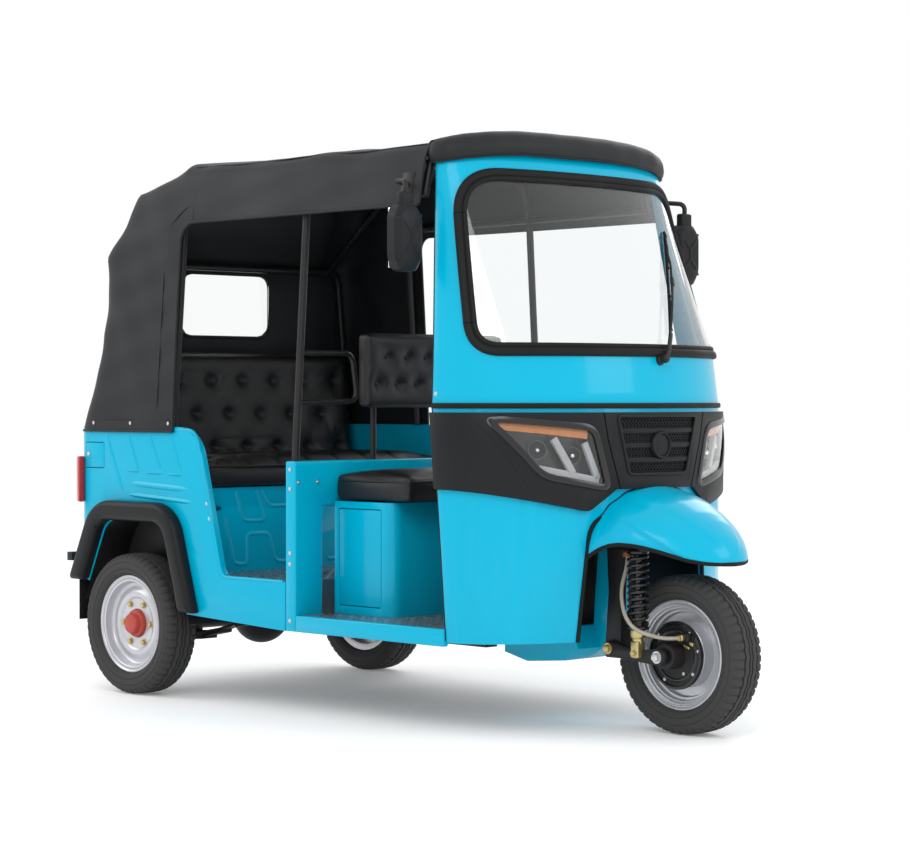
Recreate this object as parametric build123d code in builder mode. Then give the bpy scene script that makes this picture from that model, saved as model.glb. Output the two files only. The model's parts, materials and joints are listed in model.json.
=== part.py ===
"""Three-wheeled passenger motor tricycle with a canvas top, in millimetres.

+X is forward, +Y is the vehicle's left, +Z is up. The origin is on the ground,
under the middle of the vehicle's bounding box.
"""

import os
from math import atan2, cos, degrees, radians, sin, sqrt, tan
from typing import NamedTuple

from build123d import *

os.makedirs("parts", exist_ok=True)

# Driving dimensions: wheels and stance
WHEELBASE = 2020.0
WHEEL_INSET = 48.0
TYRE_R = 243.0
TYRE_W = 132.0
RIM_R = 167.0
RIM_W = 100.0
REAR_OVERHANG = 370.0

# Driving dimensions: body
BODY_HALF = 593.0
WALL = 22.0
TAIL_BACK = 312.0
BODY_TOP_Z = 925.0
TAIL_FOOT_Z = 394.0
SILL_FOOT_Z = 272.0
FLOOR_T = 12.0
DRIVER_FLOOR_Z = 325.0
PASSENGER_FLOOR_Z = 430.0
PARTITION_AHEAD = 824.0
PARTITION_T = 49.0
PARTITION_TOP_Z = 820.0
TUMBLEHOME = 93.0
ROOF_TOP_Z = 1850.0
SEAT_GAP = 0.3
PANEL_GAP = 2.0

# Driving dimensions: cab shell
CAB_T = 14.0
CAB_RUN = 10.0
SKIRT_Z = 285.0
BELT_Z = 1000.0
COWL_Z = 1165.0
HEADER_DROP = 85.0
EAVE_DROP = 232.0

# Driving dimensions: steering and front suspension
STEER_RAKE = 23.4
STEER_TRAIL = 62.0

# Places that follow from the driving dimensions
LENGTH = REAR_OVERHANG + WHEELBASE + TYRE_R
REAR_AXLE_X = REAR_OVERHANG - LENGTH / 2
FRONT_AXLE_X = REAR_AXLE_X + WHEELBASE
AXLE_Z = TYRE_R
WHEEL_Y = BODY_HALF - WHEEL_INSET
TAIL_X = REAR_AXLE_X - TAIL_BACK
PARTITION_X = REAR_AXLE_X + PARTITION_AHEAD
PARTITION_FRONT_X = PARTITION_X + PARTITION_T
INNER_HALF = BODY_HALF - WALL
ROOF_HALF = BODY_HALF - TUMBLEHOME
HEADER_Z = ROOF_TOP_Z - HEADER_DROP
EAVE_Z = ROOF_TOP_Z - EAVE_DROP


def save(part, name):
    """Labels a finished piece and writes it as its own STEP file."""
    part.label = name
    export_step(part, f"parts/{name}.step")


class CabRow(NamedTuple):
    """One level of the cab shell: a half ellipse in plan, open to the rear."""

    z: float
    edge: float
    half: float
    reach: float


SKIRT = CabRow(SKIRT_Z, FRONT_AXLE_X - 460, BODY_HALF - 8, 300)
BELT = CabRow(BELT_Z, FRONT_AXLE_X - 513, BODY_HALF, 378)
COWL = CabRow(COWL_Z, FRONT_AXLE_X - 520, BODY_HALF - 13, 362)
HEADER = CabRow(HEADER_Z, FRONT_AXLE_X - 593, ROOF_HALF, 138)


def between(lower, upper, z):
    """The cab level at height z on the straight run through two levels."""
    share = (z - lower.z) / (upper.z - lower.z)
    return CabRow(*(a + share * (b - a) for a, b in zip(lower, upper)))


def cab_loft(rows, grow=0.0, back=0.0):
    """A solid through cab levels, grown outward, with its flat rear moved back."""
    with BuildPart() as cab:
        for row in rows:
            centre = row.edge + CAB_RUN
            half = row.half + grow
            with BuildSketch(Plane.XY.offset(row.z)):
                with BuildLine():
                    front = EllipticalCenterArc((centre, 0), row.reach + grow, half, -90, arc_size=180)
                    Polyline(front @ 1, (row.edge - back, half), (row.edge - back, -half), front @ 0)
                make_face()
        loft(ruled=True)
    return cab.part


SPARE = 30.0
NOSE_ROWS = (SKIRT, BELT)
NOSE_LONG = (between(SKIRT, BELT, SKIRT_Z - SPARE), between(SKIRT, BELT, BELT_Z + SPARE))
UPPER_ROWS = (BELT, COWL, HEADER)
UPPER_LONG = (between(BELT, COWL, BELT_Z - SPARE), COWL, between(COWL, HEADER, HEADER_Z + SPARE))


def front_outline(points, radii, x=FRONT_AXLE_X - 720, depth=950.0, margin=0.0):
    """A closed outline in the YZ plane, run forward along X as a cutter."""
    with BuildPart() as cutter:
        with BuildSketch(Plane.YZ.offset(x)):
            with BuildLine():
                FilletPolyline(*points, radius=radii, close=True)
            make_face()
            if margin:
                offset(amount=margin)
        extrude(amount=depth)
    return cutter.part


# Windscreen outline, seen from the front
SCREEN_FOOT_Z = COWL_Z + 14
SCREEN_TOP_Z = HEADER_Z - 62
SCREEN_FOOT_HALF = BODY_HALF - 45
SCREEN_TOP_HALF = ROOF_HALF - 64
SCREEN_POINTS = (
    (-SCREEN_FOOT_HALF, SCREEN_FOOT_Z),
    (SCREEN_FOOT_HALF, SCREEN_FOOT_Z),
    (SCREEN_TOP_HALF, SCREEN_TOP_Z),
    (-SCREEN_TOP_HALF, SCREEN_TOP_Z),
)
SCREEN_CORNER = 60.0
SEAL_LAP = 18.0
SEAL_PROUD = 12.0
GLASS_T = 5.0

with BuildPart() as windscreen_panel:
    add(cab_loft(UPPER_ROWS))
    add(cab_loft(UPPER_LONG, -CAB_T, SPARE), mode=Mode.SUBTRACT)
    add(front_outline(SCREEN_POINTS, SCREEN_CORNER), mode=Mode.SUBTRACT)
save(windscreen_panel.part, "windscreen_panel")

with BuildPart() as windscreen:
    add(cab_loft(UPPER_ROWS))
    add(cab_loft(UPPER_LONG, -GLASS_T, SPARE), mode=Mode.SUBTRACT)
    add(front_outline(SCREEN_POINTS, SCREEN_CORNER, margin=-PANEL_GAP), mode=Mode.INTERSECT)
save(windscreen.part, "windscreen")

with BuildPart() as windscreen_seal:
    add(cab_loft(UPPER_ROWS, SEAL_PROUD))
    add(cab_loft(UPPER_LONG, SEAT_GAP, SPARE), mode=Mode.SUBTRACT)
    add(front_outline(SCREEN_POINTS, SCREEN_CORNER, margin=SEAL_LAP), mode=Mode.INTERSECT)
    add(front_outline(SCREEN_POINTS, SCREEN_CORNER, margin=-SEAL_LAP), mode=Mode.SUBTRACT)
save(windscreen_seal.part, "windscreen_seal")

# Nose panel with its wheel opening and lamp openings
BULKHEAD_X = FRONT_AXLE_X - 390
BULKHEAD_T = 12.0
BULKHEAD_TOP_Z = 820.0
ARCH_FOOT_HALF = 295.0
ARCH_TOP_HALF = 258.0
ARCH_TOP_Z = 665.0
ARCH_CORNER = 70.0
ARCH_POINTS = (
    (-ARCH_FOOT_HALF, SKIRT_Z - SPARE),
    (ARCH_FOOT_HALF, SKIRT_Z - SPARE),
    (ARCH_TOP_HALF, ARCH_TOP_Z),
    (-ARCH_TOP_HALF, ARCH_TOP_Z),
)

# Lamp band round the nose, seen from the front
BAND_PROUD = 16.0
BAND_TOP_Z = BELT_Z - 20
BAND_SIDE_Z = 753.0
BAND_LOW_Z = 680.0
BAND_LOW_HALF = 275.0
BAND_MID_Z = 746.0
BAND_MID_HALF = 178.0
BAND_SIDE_HALF = BODY_HALF + 2 * BAND_PROUD
BAND_POINTS = (
    (-BAND_SIDE_HALF, BAND_TOP_Z),
    (-BAND_SIDE_HALF, BAND_SIDE_Z),
    (-BAND_LOW_HALF, BAND_LOW_Z),
    (-BAND_MID_HALF, BAND_MID_Z),
    (BAND_MID_HALF, BAND_MID_Z),
    (BAND_LOW_HALF, BAND_LOW_Z),
    (BAND_SIDE_HALF, BAND_SIDE_Z),
    (BAND_SIDE_HALF, BAND_TOP_Z),
)
BAND_RADII = (0, 0, 30, 20, 20, 30, 0, 0)

# Grille opening, seen from the front
GRILLE_TOP_HALF = 182.0
GRILLE_FOOT_HALF = 132.0
GRILLE_TOP_Z = BAND_TOP_Z - 12
GRILLE_FOOT_Z = BAND_MID_Z + 44
GRILLE_POINTS = (
    (-GRILLE_TOP_HALF, GRILLE_TOP_Z),
    (-GRILLE_FOOT_HALF, GRILLE_FOOT_Z),
    (GRILLE_FOOT_HALF, GRILLE_FOOT_Z),
    (GRILLE_TOP_HALF, GRILLE_TOP_Z),
)
GRILLE_CORNER = 12.0
GRILLE_SINK = 9.0
SLAT_COUNT = 3
SLAT_H = 14.0
SLAT_SINK = 1.0
BADGE_R = 40.0
BAR_RUN = 900.0

# Headlamp outline on the right side, seen from the front
LAMP_POINTS = (
    (47 - BODY_HALF, BAND_TOP_Z - 18),
    (-GRILLE_TOP_HALF - 80, BAND_TOP_Z - 46),
    (-GRILLE_TOP_HALF - 26, BAND_TOP_Z - 232),
    (178 - BODY_HALF, BAND_TOP_Z - 192),
)
LAMP_RADII = (14, 50, 22, 40)
LAMP_DEPTH = 46.0
LAMP_WALL = 5.0
LENS_T = 4.0
LENS_SINK = 3.0


def lamp_cutter(margin=0.0):
    """The outline of the right-hand headlamp as a cutter."""
    return front_outline(LAMP_POINTS, LAMP_RADII, x=FRONT_AXLE_X - 520, margin=margin)


def lamp_hollow():
    """The room inside the right-hand lamp bowl."""
    with BuildPart() as hollow:
        add(cab_loft(NOSE_LONG, BAND_PROUD))
        add(cab_loft(NOSE_LONG, LAMP_WALL - LAMP_DEPTH, SPARE), mode=Mode.SUBTRACT)
        add(lamp_cutter(-LAMP_WALL), mode=Mode.INTERSECT)
    return hollow.part


def grille_bars():
    """The slats and the round badge of the grille, run along X."""
    pitch = (GRILLE_TOP_Z - GRILLE_FOOT_Z) / (SLAT_COUNT + 1)
    middle = (GRILLE_TOP_Z + GRILLE_FOOT_Z) / 2
    with BuildPart() as bars:
        for count in range(1, SLAT_COUNT + 1):
            with Locations((FRONT_AXLE_X, 0, GRILLE_FOOT_Z + count * pitch)):
                Box(BAR_RUN, 2 * GRILLE_TOP_HALF, SLAT_H)
        with Locations(Location((FRONT_AXLE_X, 0, middle), (0, 90, 0))):
            Cylinder(BADGE_R, BAR_RUN)
    return bars.part


def grille_slats():
    """The slats and the badge, following the nose inside the grille's outline."""
    with BuildPart() as slats:
        add(cab_loft(NOSE_ROWS, BAND_PROUD - SLAT_SINK))
        add(cab_loft(NOSE_LONG, SEAT_GAP, SPARE), mode=Mode.SUBTRACT)
        add(grille_bars(), mode=Mode.INTERSECT)
        add(front_outline(GRILLE_POINTS, GRILLE_CORNER, margin=-SEAT_GAP), mode=Mode.INTERSECT)
    return slats.part


with BuildPart() as nose_panel:
    add(cab_loft(NOSE_ROWS))
    add(cab_loft(NOSE_LONG, -CAB_T, SPARE), mode=Mode.SUBTRACT)
    add(front_outline(ARCH_POINTS, (0, 0, ARCH_CORNER, ARCH_CORNER), x=BULKHEAD_X + BULKHEAD_T), mode=Mode.SUBTRACT)
    add(lamp_cutter(SEAT_GAP), mode=Mode.SUBTRACT)
    add(lamp_cutter(SEAT_GAP).mirror(Plane.XZ), mode=Mode.SUBTRACT)
save(nose_panel.part, "nose_panel")

with BuildPart() as lamp_band:
    add(cab_loft(NOSE_ROWS, BAND_PROUD))
    add(cab_loft(NOSE_LONG, SEAT_GAP, SPARE), mode=Mode.SUBTRACT)
    add(front_outline(BAND_POINTS, BAND_RADII), mode=Mode.INTERSECT)
    add(lamp_cutter(SEAT_GAP), mode=Mode.SUBTRACT)
    add(lamp_cutter(SEAT_GAP).mirror(Plane.XZ), mode=Mode.SUBTRACT)
    add(front_outline(GRILLE_POINTS, GRILLE_CORNER), mode=Mode.SUBTRACT)
save(lamp_band.part, "lamp_band")

with BuildPart() as headlamp_bowls:
    add(cab_loft(NOSE_ROWS, BAND_PROUD - LENS_SINK - LENS_T))
    add(cab_loft(NOSE_LONG, -LAMP_DEPTH, SPARE), mode=Mode.SUBTRACT)
    add(lamp_cutter(), mode=Mode.INTERSECT)
    add(lamp_hollow(), mode=Mode.SUBTRACT)
    mirror(about=Plane.XZ)
save(headlamp_bowls.part, "headlamp_bowls")

with BuildPart() as headlamp_lenses:
    add(cab_loft(NOSE_ROWS, BAND_PROUD - LENS_SINK))
    add(cab_loft(NOSE_LONG, BAND_PROUD - LENS_SINK - LENS_T, SPARE), mode=Mode.SUBTRACT)
    add(lamp_cutter(), mode=Mode.INTERSECT)
    mirror(about=Plane.XZ)
save(headlamp_lenses.part, "headlamp_lenses")

with BuildPart() as grille:
    add(cab_loft(NOSE_ROWS, BAND_PROUD - GRILLE_SINK))
    add(cab_loft(NOSE_LONG, SEAT_GAP, SPARE), mode=Mode.SUBTRACT)
    add(front_outline(GRILLE_POINTS, GRILLE_CORNER, margin=-SEAT_GAP), mode=Mode.INTERSECT)
    add(grille_slats())
save(grille.part, "grille")

TRIM_H = 16.0
TRIM_PROUD = 7.0
TRIM_ROWS = (between(SKIRT, BELT, BELT_Z - TRIM_H / 2), BELT, between(BELT, COWL, BELT_Z + TRIM_H / 2))
TRIM_LONG = (between(SKIRT, BELT, BELT_Z - TRIM_H), BELT, between(BELT, COWL, BELT_Z + TRIM_H))

with BuildPart() as belt_trim:
    add(cab_loft(TRIM_ROWS, TRIM_PROUD))
    add(cab_loft(TRIM_LONG, SEAT_GAP, SPARE), mode=Mode.SUBTRACT)
save(belt_trim.part, "belt_trim")


def rear_x(ahead):
    """X of a place measured forward from the rear axle."""
    return REAR_AXLE_X + ahead


def front_x(back):
    """X of a place measured rearward from the front axle."""
    return FRONT_AXLE_X - back


def from_rear(points):
    """Side-view points measured from the rear axle, moved to the frame's X."""
    return tuple((rear_x(ahead), z) for ahead, z in points)


def from_front(points):
    """Side-view points measured rearward from the front axle, moved to the frame's X."""
    return tuple((front_x(back), z) for back, z in points)


def side_prism(points, radii, y_low, y_high, margin=0.0):
    """A closed side-view outline, run across from one Y to another."""
    with BuildPart() as prism:
        with BuildSketch(Plane.XZ.offset(-y_high)):
            with BuildLine():
                if radii:
                    FilletPolyline(*points, radius=radii, close=True)
                else:
                    Polyline(*points, close=True)
            make_face()
            if margin:
                offset(amount=margin)
        extrude(amount=y_high - y_low)
    return prism.part


def plan_prism(points, radii, z_low, z_high, margin=0.0):
    """A closed plan outline, run up from one Z to another."""
    with BuildPart() as prism:
        with BuildSketch(Plane.XY.offset(z_low)):
            with BuildLine():
                if radii:
                    FilletPolyline(*points, radius=radii, close=True)
                else:
                    Polyline(*points, close=True)
            make_face()
            if margin:
                offset(amount=margin)
        extrude(amount=z_high - z_low)
    return prism.part


def block(x_low, x_high, y_low, y_high, z_low, z_high):
    """A plain box given by its limits."""
    centre = ((x_low + x_high) / 2, (y_low + y_high) / 2, (z_low + z_high) / 2)
    with BuildPart() as box:
        with Locations(centre):
            Box(x_high - x_low, y_high - y_low, z_high - z_low)
    return box.part


def tube(points, radius, bend):
    """A round bar along a path with rounded corners."""
    with BuildPart() as bar:
        with BuildLine() as path:
            if len(points) > 2:
                FilletPolyline(*points, radius=bend)
            else:
                Line(*points)
        with BuildSketch(Plane(origin=path.line @ 0, z_dir=path.line % 0)):
            Circle(radius)
        sweep()
    return bar.part


# Rear body: one wall round the passenger space, split into tail and quarters
CORNER_R = 70.0
TAIL_HALF = BODY_HALF - CORNER_R - 5
ARCH_SIDE = from_rear(((-292, 260), (-131, 600), (222, 600), (329, 255)))
ARCH_SIDE_RADII = (0, 75, 75, 0)
QUARTER_SIDE = from_rear((
    (-TAIL_BACK, TAIL_FOOT_Z),
    (-TAIL_BACK, BODY_TOP_Z),
    (370, BODY_TOP_Z),
    (505, PASSENGER_FLOOR_Z),
    (PARTITION_AHEAD - SEAT_GAP, PASSENGER_FLOOR_Z),
    (PARTITION_AHEAD - SEAT_GAP, SILL_FOOT_Z),
    (318, SILL_FOOT_Z + 23),
))
QUARTER_RADII = (0, 0, 130, 45, 0, 0, 0)


def body_plan(inset, z_low=SILL_FOOT_Z, z_high=BODY_TOP_Z):
    """The plan of the rear body, set in from its outer face."""
    ahead = PARTITION_X + 100
    half = BODY_HALF - inset
    points = ((TAIL_X + inset, -half), (ahead, -half), (ahead, half), (TAIL_X + inset, half))
    corner = CORNER_R - inset
    return plan_prism(points, (corner, 0, 0, corner), z_low, z_high)


with BuildPart() as body_wall:
    add(body_plan(0))
    add(body_plan(WALL), mode=Mode.SUBTRACT)

# Fuel flap in the right quarter
FLAP_AHEAD = -255.0
FLAP_L = 110.0
FLAP_FOOT_Z = 778.0
FLAP_H = 92.0
FLAP_T = 6.0
FLAP_GAP = 3.0
POCKET_DEPTH = 14.0
FLAP_PIN_R = 2.0
FLAP_PIN_X = rear_x(FLAP_AHEAD + FLAP_L) - FLAP_GAP - 4
FLAP_PIN_Y = FLAP_T / 2 - BODY_HALF
PIN_PLAY = 0.06

# Pressed ribs on each quarter: side-view ends and height of the ridge
class Rib(NamedTuple):
    """One pressed ridge on a quarter panel."""

    start_ahead: float
    start_z: float
    end_ahead: float
    end_z: float


RIB_W = 13.0
RIB_PROUD = 4.0
RIBS = (
    Rib(-150, 880, -62, 692),
    Rib(-52, 876, -14, 772),
    Rib(34, 880, 76, 768),
    Rib(120, 880, 160, 768),
    Rib(-66, 770, -20, 770),
    Rib(22, 766, 70, 766),
    Rib(108, 764, 154, 764),
    Rib(-40, 735, 196, 728),
    Rib(-44, 704, 200, 697),
)


def rib_ridge(rib):
    """A round-ended ridge standing on the outer face of the right quarter."""
    start = (rear_x(rib.start_ahead), rib.start_z)
    end = (rear_x(rib.end_ahead), rib.end_z)
    length = sqrt((end[0] - start[0]) ** 2 + (end[1] - start[1]) ** 2)
    angle = degrees(atan2(end[1] - start[1], end[0] - start[0]))
    with BuildPart() as ridge:
        with BuildSketch(Plane.XZ.offset(BODY_HALF)):
            with Locations(Location(((start[0] + end[0]) / 2, (start[1] + end[1]) / 2), angle)):
                SlotOverall(length, RIB_W)
        extrude(amount=RIB_PROUD)
    return ridge.part


with BuildPart() as quarter_left:
    add(side_prism(QUARTER_SIDE, QUARTER_RADII, -BODY_HALF, -TAIL_HALF - SEAT_GAP))
    add(body_wall.part, mode=Mode.INTERSECT)
    add(side_prism(ARCH_SIDE, ARCH_SIDE_RADII, -BODY_HALF - 1, -TAIL_HALF), mode=Mode.SUBTRACT)
    for rib in RIBS:
        add(rib_ridge(rib))

with BuildPart() as quarter_right:
    add(quarter_left.part)
    add(
        block(
            rear_x(FLAP_AHEAD),
            rear_x(FLAP_AHEAD + FLAP_L),
            -BODY_HALF - RIB_PROUD,
            -BODY_HALF + POCKET_DEPTH,
            FLAP_FOOT_Z,
            FLAP_FOOT_Z + FLAP_H,
        ),
        mode=Mode.SUBTRACT,
    )
    with Locations((FLAP_PIN_X, FLAP_PIN_Y, FLAP_FOOT_Z + 7), (FLAP_PIN_X, FLAP_PIN_Y, FLAP_FOOT_Z + FLAP_H - 7)):
        Cylinder(FLAP_PIN_R, 14)
save(quarter_right.part, "quarter_right")
save(quarter_left.part.mirror(Plane.XZ), "quarter_left")

with BuildPart() as fuel_flap:
    add(
        block(
            rear_x(FLAP_AHEAD) + FLAP_GAP,
            rear_x(FLAP_AHEAD + FLAP_L) - FLAP_GAP,
            -BODY_HALF,
            -BODY_HALF + FLAP_T,
            FLAP_FOOT_Z + FLAP_GAP,
            FLAP_FOOT_Z + FLAP_H - FLAP_GAP,
        )
    )
    with Locations((FLAP_PIN_X, FLAP_PIN_Y, FLAP_FOOT_Z), (FLAP_PIN_X, FLAP_PIN_Y, FLAP_FOOT_Z + FLAP_H)):
        Cylinder(FLAP_PIN_R + PIN_PLAY, 30, mode=Mode.SUBTRACT)
save(fuel_flap.part, "fuel_flap")

with BuildPart() as tail_panel:
    add(block(TAIL_X, TAIL_X + WALL, -TAIL_HALF, TAIL_HALF, TAIL_FOOT_Z, BODY_TOP_Z))
save(tail_panel.part, "tail_panel")

# Arch flares, wheel housings and mud flaps
FLARE_W = 68.0
FLARE_PROUD = 47.0
FLARE_BEVEL = 12.0
FLARE_FRONT_Z = 302.0
FLARE_REAR_Z = 385.0
HOUSING_T = 10.0
HOUSING_Y = WHEEL_Y - TYRE_W / 2 - 24
RAIL_Y = HOUSING_Y - 125

with BuildPart() as arch_flares:
    add(side_prism(ARCH_SIDE, ARCH_SIDE_RADII, -BODY_HALF - FLARE_PROUD, -BODY_HALF, FLARE_W))
    add(side_prism(ARCH_SIDE, ARCH_SIDE_RADII, -BODY_HALF - 99, 0), mode=Mode.SUBTRACT)
    add(block(rear_x(-500), rear_x(600), -BODY_HALF - 99, 0, 0, FLARE_FRONT_Z), mode=Mode.SUBTRACT)
    add(block(rear_x(-500), rear_x(0), -BODY_HALF - 99, 0, 0, FLARE_REAR_Z), mode=Mode.SUBTRACT)
    chamfer(arch_flares.edges().group_by(Axis.Y)[0], FLARE_BEVEL)
    mirror(about=Plane.XZ)
save(arch_flares.part, "arch_flares")

with BuildPart() as wheel_housings:
    add(side_prism(ARCH_SIDE, ARCH_SIDE_RADII, -INNER_HALF + SEAT_GAP, -HOUSING_Y + HOUSING_T, HOUSING_T))
    add(side_prism(ARCH_SIDE, ARCH_SIDE_RADII, -INNER_HALF - 1, -HOUSING_Y), mode=Mode.SUBTRACT)
    add(block(rear_x(-500), rear_x(600), -BODY_HALF, 0, 0, FLARE_FRONT_Z), mode=Mode.SUBTRACT)
    add(block(rear_x(-500), rear_x(0), -BODY_HALF, 0, 0, FLARE_REAR_Z + 9), mode=Mode.SUBTRACT)
    mirror(about=Plane.XZ)
save(wheel_housings.part, "wheel_housings")

MUD_FLAP_AHEAD = -266.0
with BuildPart() as mud_flaps:
    add(block(rear_x(MUD_FLAP_AHEAD - 4), rear_x(MUD_FLAP_AHEAD), -WHEEL_Y - TYRE_W / 2,
              -WHEEL_Y + TYRE_W / 2, TYRE_R, FLARE_REAR_Z - SEAT_GAP))
    mirror(about=Plane.XZ)
save(mud_flaps.part, "mud_flaps")

# Floors, sills, partition and bench
BENCH_FRONT_AHEAD = 318.0
BENCH_TOP_Z = 718.0
SHEET_T = 12.0
SEAT_BOX_X = PARTITION_FRONT_X + 8
SEAT_BOX_L = 272.0
SEAT_BOX_HALF = 430.0
SEAT_BOX_TOP_Z = 689.0
SEAT_BOX_T = 10.0
SEAT_BOX_FRONT_X = SEAT_BOX_X + SEAT_BOX_L
ENGINE_GAP = 16.0
ENGINE_X = SEAT_BOX_X + SEAT_BOX_T + ENGINE_GAP
ENGINE_FRONT_X = SEAT_BOX_FRONT_X - SEAT_BOX_T - ENGINE_GAP
ENGINE_HALF = 170.0
ENGINE_H = 300.0
TUNNEL_HALF = 50.0
TUNNEL_TOP_Z = 395.0

with BuildPart() as driver_floor:
    add(block(PARTITION_FRONT_X + SEAT_GAP, front_x(470), -INNER_HALF + SEAT_GAP, INNER_HALF - SEAT_GAP,
              DRIVER_FLOOR_Z - FLOOR_T, DRIVER_FLOOR_Z))
    add(block(front_x(471), BULKHEAD_X - SEAT_GAP, 55 - BODY_HALF, BODY_HALF - 55,
              DRIVER_FLOOR_Z - FLOOR_T, DRIVER_FLOOR_Z))
    add(block(ENGINE_X - 10, ENGINE_FRONT_X + 10, -ENGINE_HALF - 10, ENGINE_HALF + 10, 0, DRIVER_FLOOR_Z + 1),
        mode=Mode.SUBTRACT)
save(driver_floor.part, "driver_floor")

with BuildPart() as passenger_floor:
    add(block(rear_x(BENCH_FRONT_AHEAD), PARTITION_X - SEAT_GAP, -INNER_HALF + SEAT_GAP, INNER_HALF - SEAT_GAP,
              PASSENGER_FLOOR_Z - FLOOR_T, PASSENGER_FLOOR_Z))
    add(block(PARTITION_X - SEAT_GAP - FLOOR_T, PARTITION_X - SEAT_GAP, -INNER_HALF + SEAT_GAP,
              INNER_HALF - SEAT_GAP, DRIVER_FLOOR_Z - FLOOR_T, PASSENGER_FLOOR_Z))
    for side in (-1, 1):
        add(block(PARTITION_X - 2 * FLOOR_T, PARTITION_X, side * RAIL_Y - 30, side * RAIL_Y + 30,
                  0, PASSENGER_FLOOR_Z - FLOOR_T), mode=Mode.SUBTRACT)
    add(block(PARTITION_X - 2 * FLOOR_T, PARTITION_X, -TUNNEL_HALF, TUNNEL_HALF, 0, TUNNEL_TOP_Z), mode=Mode.SUBTRACT)
save(passenger_floor.part, "passenger_floor")

with BuildPart() as door_sills:
    add(block(PARTITION_FRONT_X + SEAT_GAP, front_x(466), -BODY_HALF, -INNER_HALF, SILL_FOOT_Z, DRIVER_FLOOR_Z))
    mirror(about=Plane.XZ)
save(door_sills.part, "door_sills")

PILLAR_W = 119.0
BEAM_H = 144.0
with BuildPart() as partition:
    add(block(PARTITION_X, PARTITION_FRONT_X, -BODY_HALF, BODY_HALF, SILL_FOOT_Z, PARTITION_TOP_Z))
    add(block(PARTITION_X - 1, PARTITION_FRONT_X + 1, PILLAR_W - BODY_HALF, BODY_HALF - PILLAR_W,
              SILL_FOOT_Z - 1, PARTITION_TOP_Z - BEAM_H), mode=Mode.SUBTRACT)
save(partition.part, "partition")

# Pressed panels and vent slots in the bench front: width from the middle and height
PRESSING_DEPTH = 5.0
PRESSING_CORNER = 18.0
PRESSING_POINTS = (
    (70, BENCH_TOP_Z - 62),
    (INNER_HALF - 150, BENCH_TOP_Z - 62),
    (INNER_HALF - 205, PASSENGER_FLOOR_Z + 46),
    (125, PASSENGER_FLOOR_Z + 46),
)
VENT_H = 16.0
VENT_L = 58.0
VENT_Z = BENCH_TOP_Z - 78
VENT_INNER = INNER_HALF - 118
VENT_POINTS = (
    (VENT_INNER, VENT_Z),
    (VENT_INNER + VENT_L, VENT_Z),
    (VENT_INNER + VENT_L, VENT_Z + VENT_H),
    (VENT_INNER, VENT_Z + VENT_H),
)
with BuildPart() as bench_base:
    add(block(rear_x(BENCH_FRONT_AHEAD), rear_x(BENCH_FRONT_AHEAD + SHEET_T), -INNER_HALF + SEAT_GAP,
              INNER_HALF - SEAT_GAP, PASSENGER_FLOOR_Z, BENCH_TOP_Z))
    add(block(TAIL_X + WALL, rear_x(BENCH_FRONT_AHEAD + SHEET_T), -INNER_HALF + SEAT_GAP,
              INNER_HALF - SEAT_GAP, BENCH_TOP_Z - SHEET_T, BENCH_TOP_Z))
    for side in (-1, 1):
        add(block(TAIL_X - 1, TAIL_X + CORNER_R, side * BODY_HALF - CORNER_R, side * BODY_HALF + CORNER_R,
                  0, BENCH_TOP_Z + 1), mode=Mode.SUBTRACT)
        pressing = tuple((side * y, z) for y, z in PRESSING_POINTS)
        add(front_outline(pressing, PRESSING_CORNER, rear_x(BENCH_FRONT_AHEAD + SHEET_T) - PRESSING_DEPTH, SHEET_T),
            mode=Mode.SUBTRACT)
        slot = tuple((side * y, z) for y, z in VENT_POINTS)
        add(front_outline(slot, VENT_H / 2 - SEAT_GAP, rear_x(BENCH_FRONT_AHEAD) - SHEET_T, 3 * SHEET_T),
            mode=Mode.SUBTRACT)
save(bench_base.part, "bench_base")

CUSHION_FRONT_AHEAD = 358.0
CUSHION_T = 97.0
CUSHION_TOP_Z = BENCH_TOP_Z + CUSHION_T
BACKREST_TOP_Z = 1187.0
with BuildPart() as bench_cushion:
    add(block(rear_x(-58), rear_x(CUSHION_FRONT_AHEAD), 11 - INNER_HALF, INNER_HALF - 11,
              BENCH_TOP_Z, CUSHION_TOP_Z))
    fillet(bench_cushion.edges().filter_by(Axis.Z, reverse=True).group_by(Axis.Z)[-1], 24)
save(bench_cushion.part, "bench_cushion")

BACKREST_SIDE = from_rear((
    (-60, BENCH_TOP_Z),
    (-110, BACKREST_TOP_Z),
    (-182, BACKREST_TOP_Z),
    (-132, BENCH_TOP_Z),
))
with BuildPart() as bench_backrest:
    add(side_prism(BACKREST_SIDE, (0, 28, 28, 0), 46 - INNER_HALF, INNER_HALF - 46))
save(bench_backrest.part, "bench_backrest")

# Canvas top on its hoops
CANOPY_T = 6.0
CANOPY_FRONT_X = HEADER.edge - 20 - SEAT_GAP
CANOPY_H = ROOF_TOP_Z - BODY_TOP_Z
CANOPY_BEND_Z = BODY_TOP_Z + 0.341 * CANOPY_H
CANOPY_SHOULDER_Z = BODY_TOP_Z + 0.622 * CANOPY_H
CANOPY_BREAK_Z = BODY_TOP_Z + 0.876 * CANOPY_H
CANOPY_SIDE_HALF = ROOF_HALF + 62
CANOPY_EDGE_HALF = ROOF_HALF + 12
CANOPY_CORNER_R = CORNER_R + 60
CANOPY_BACK_AHEAD = -205.0


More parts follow.
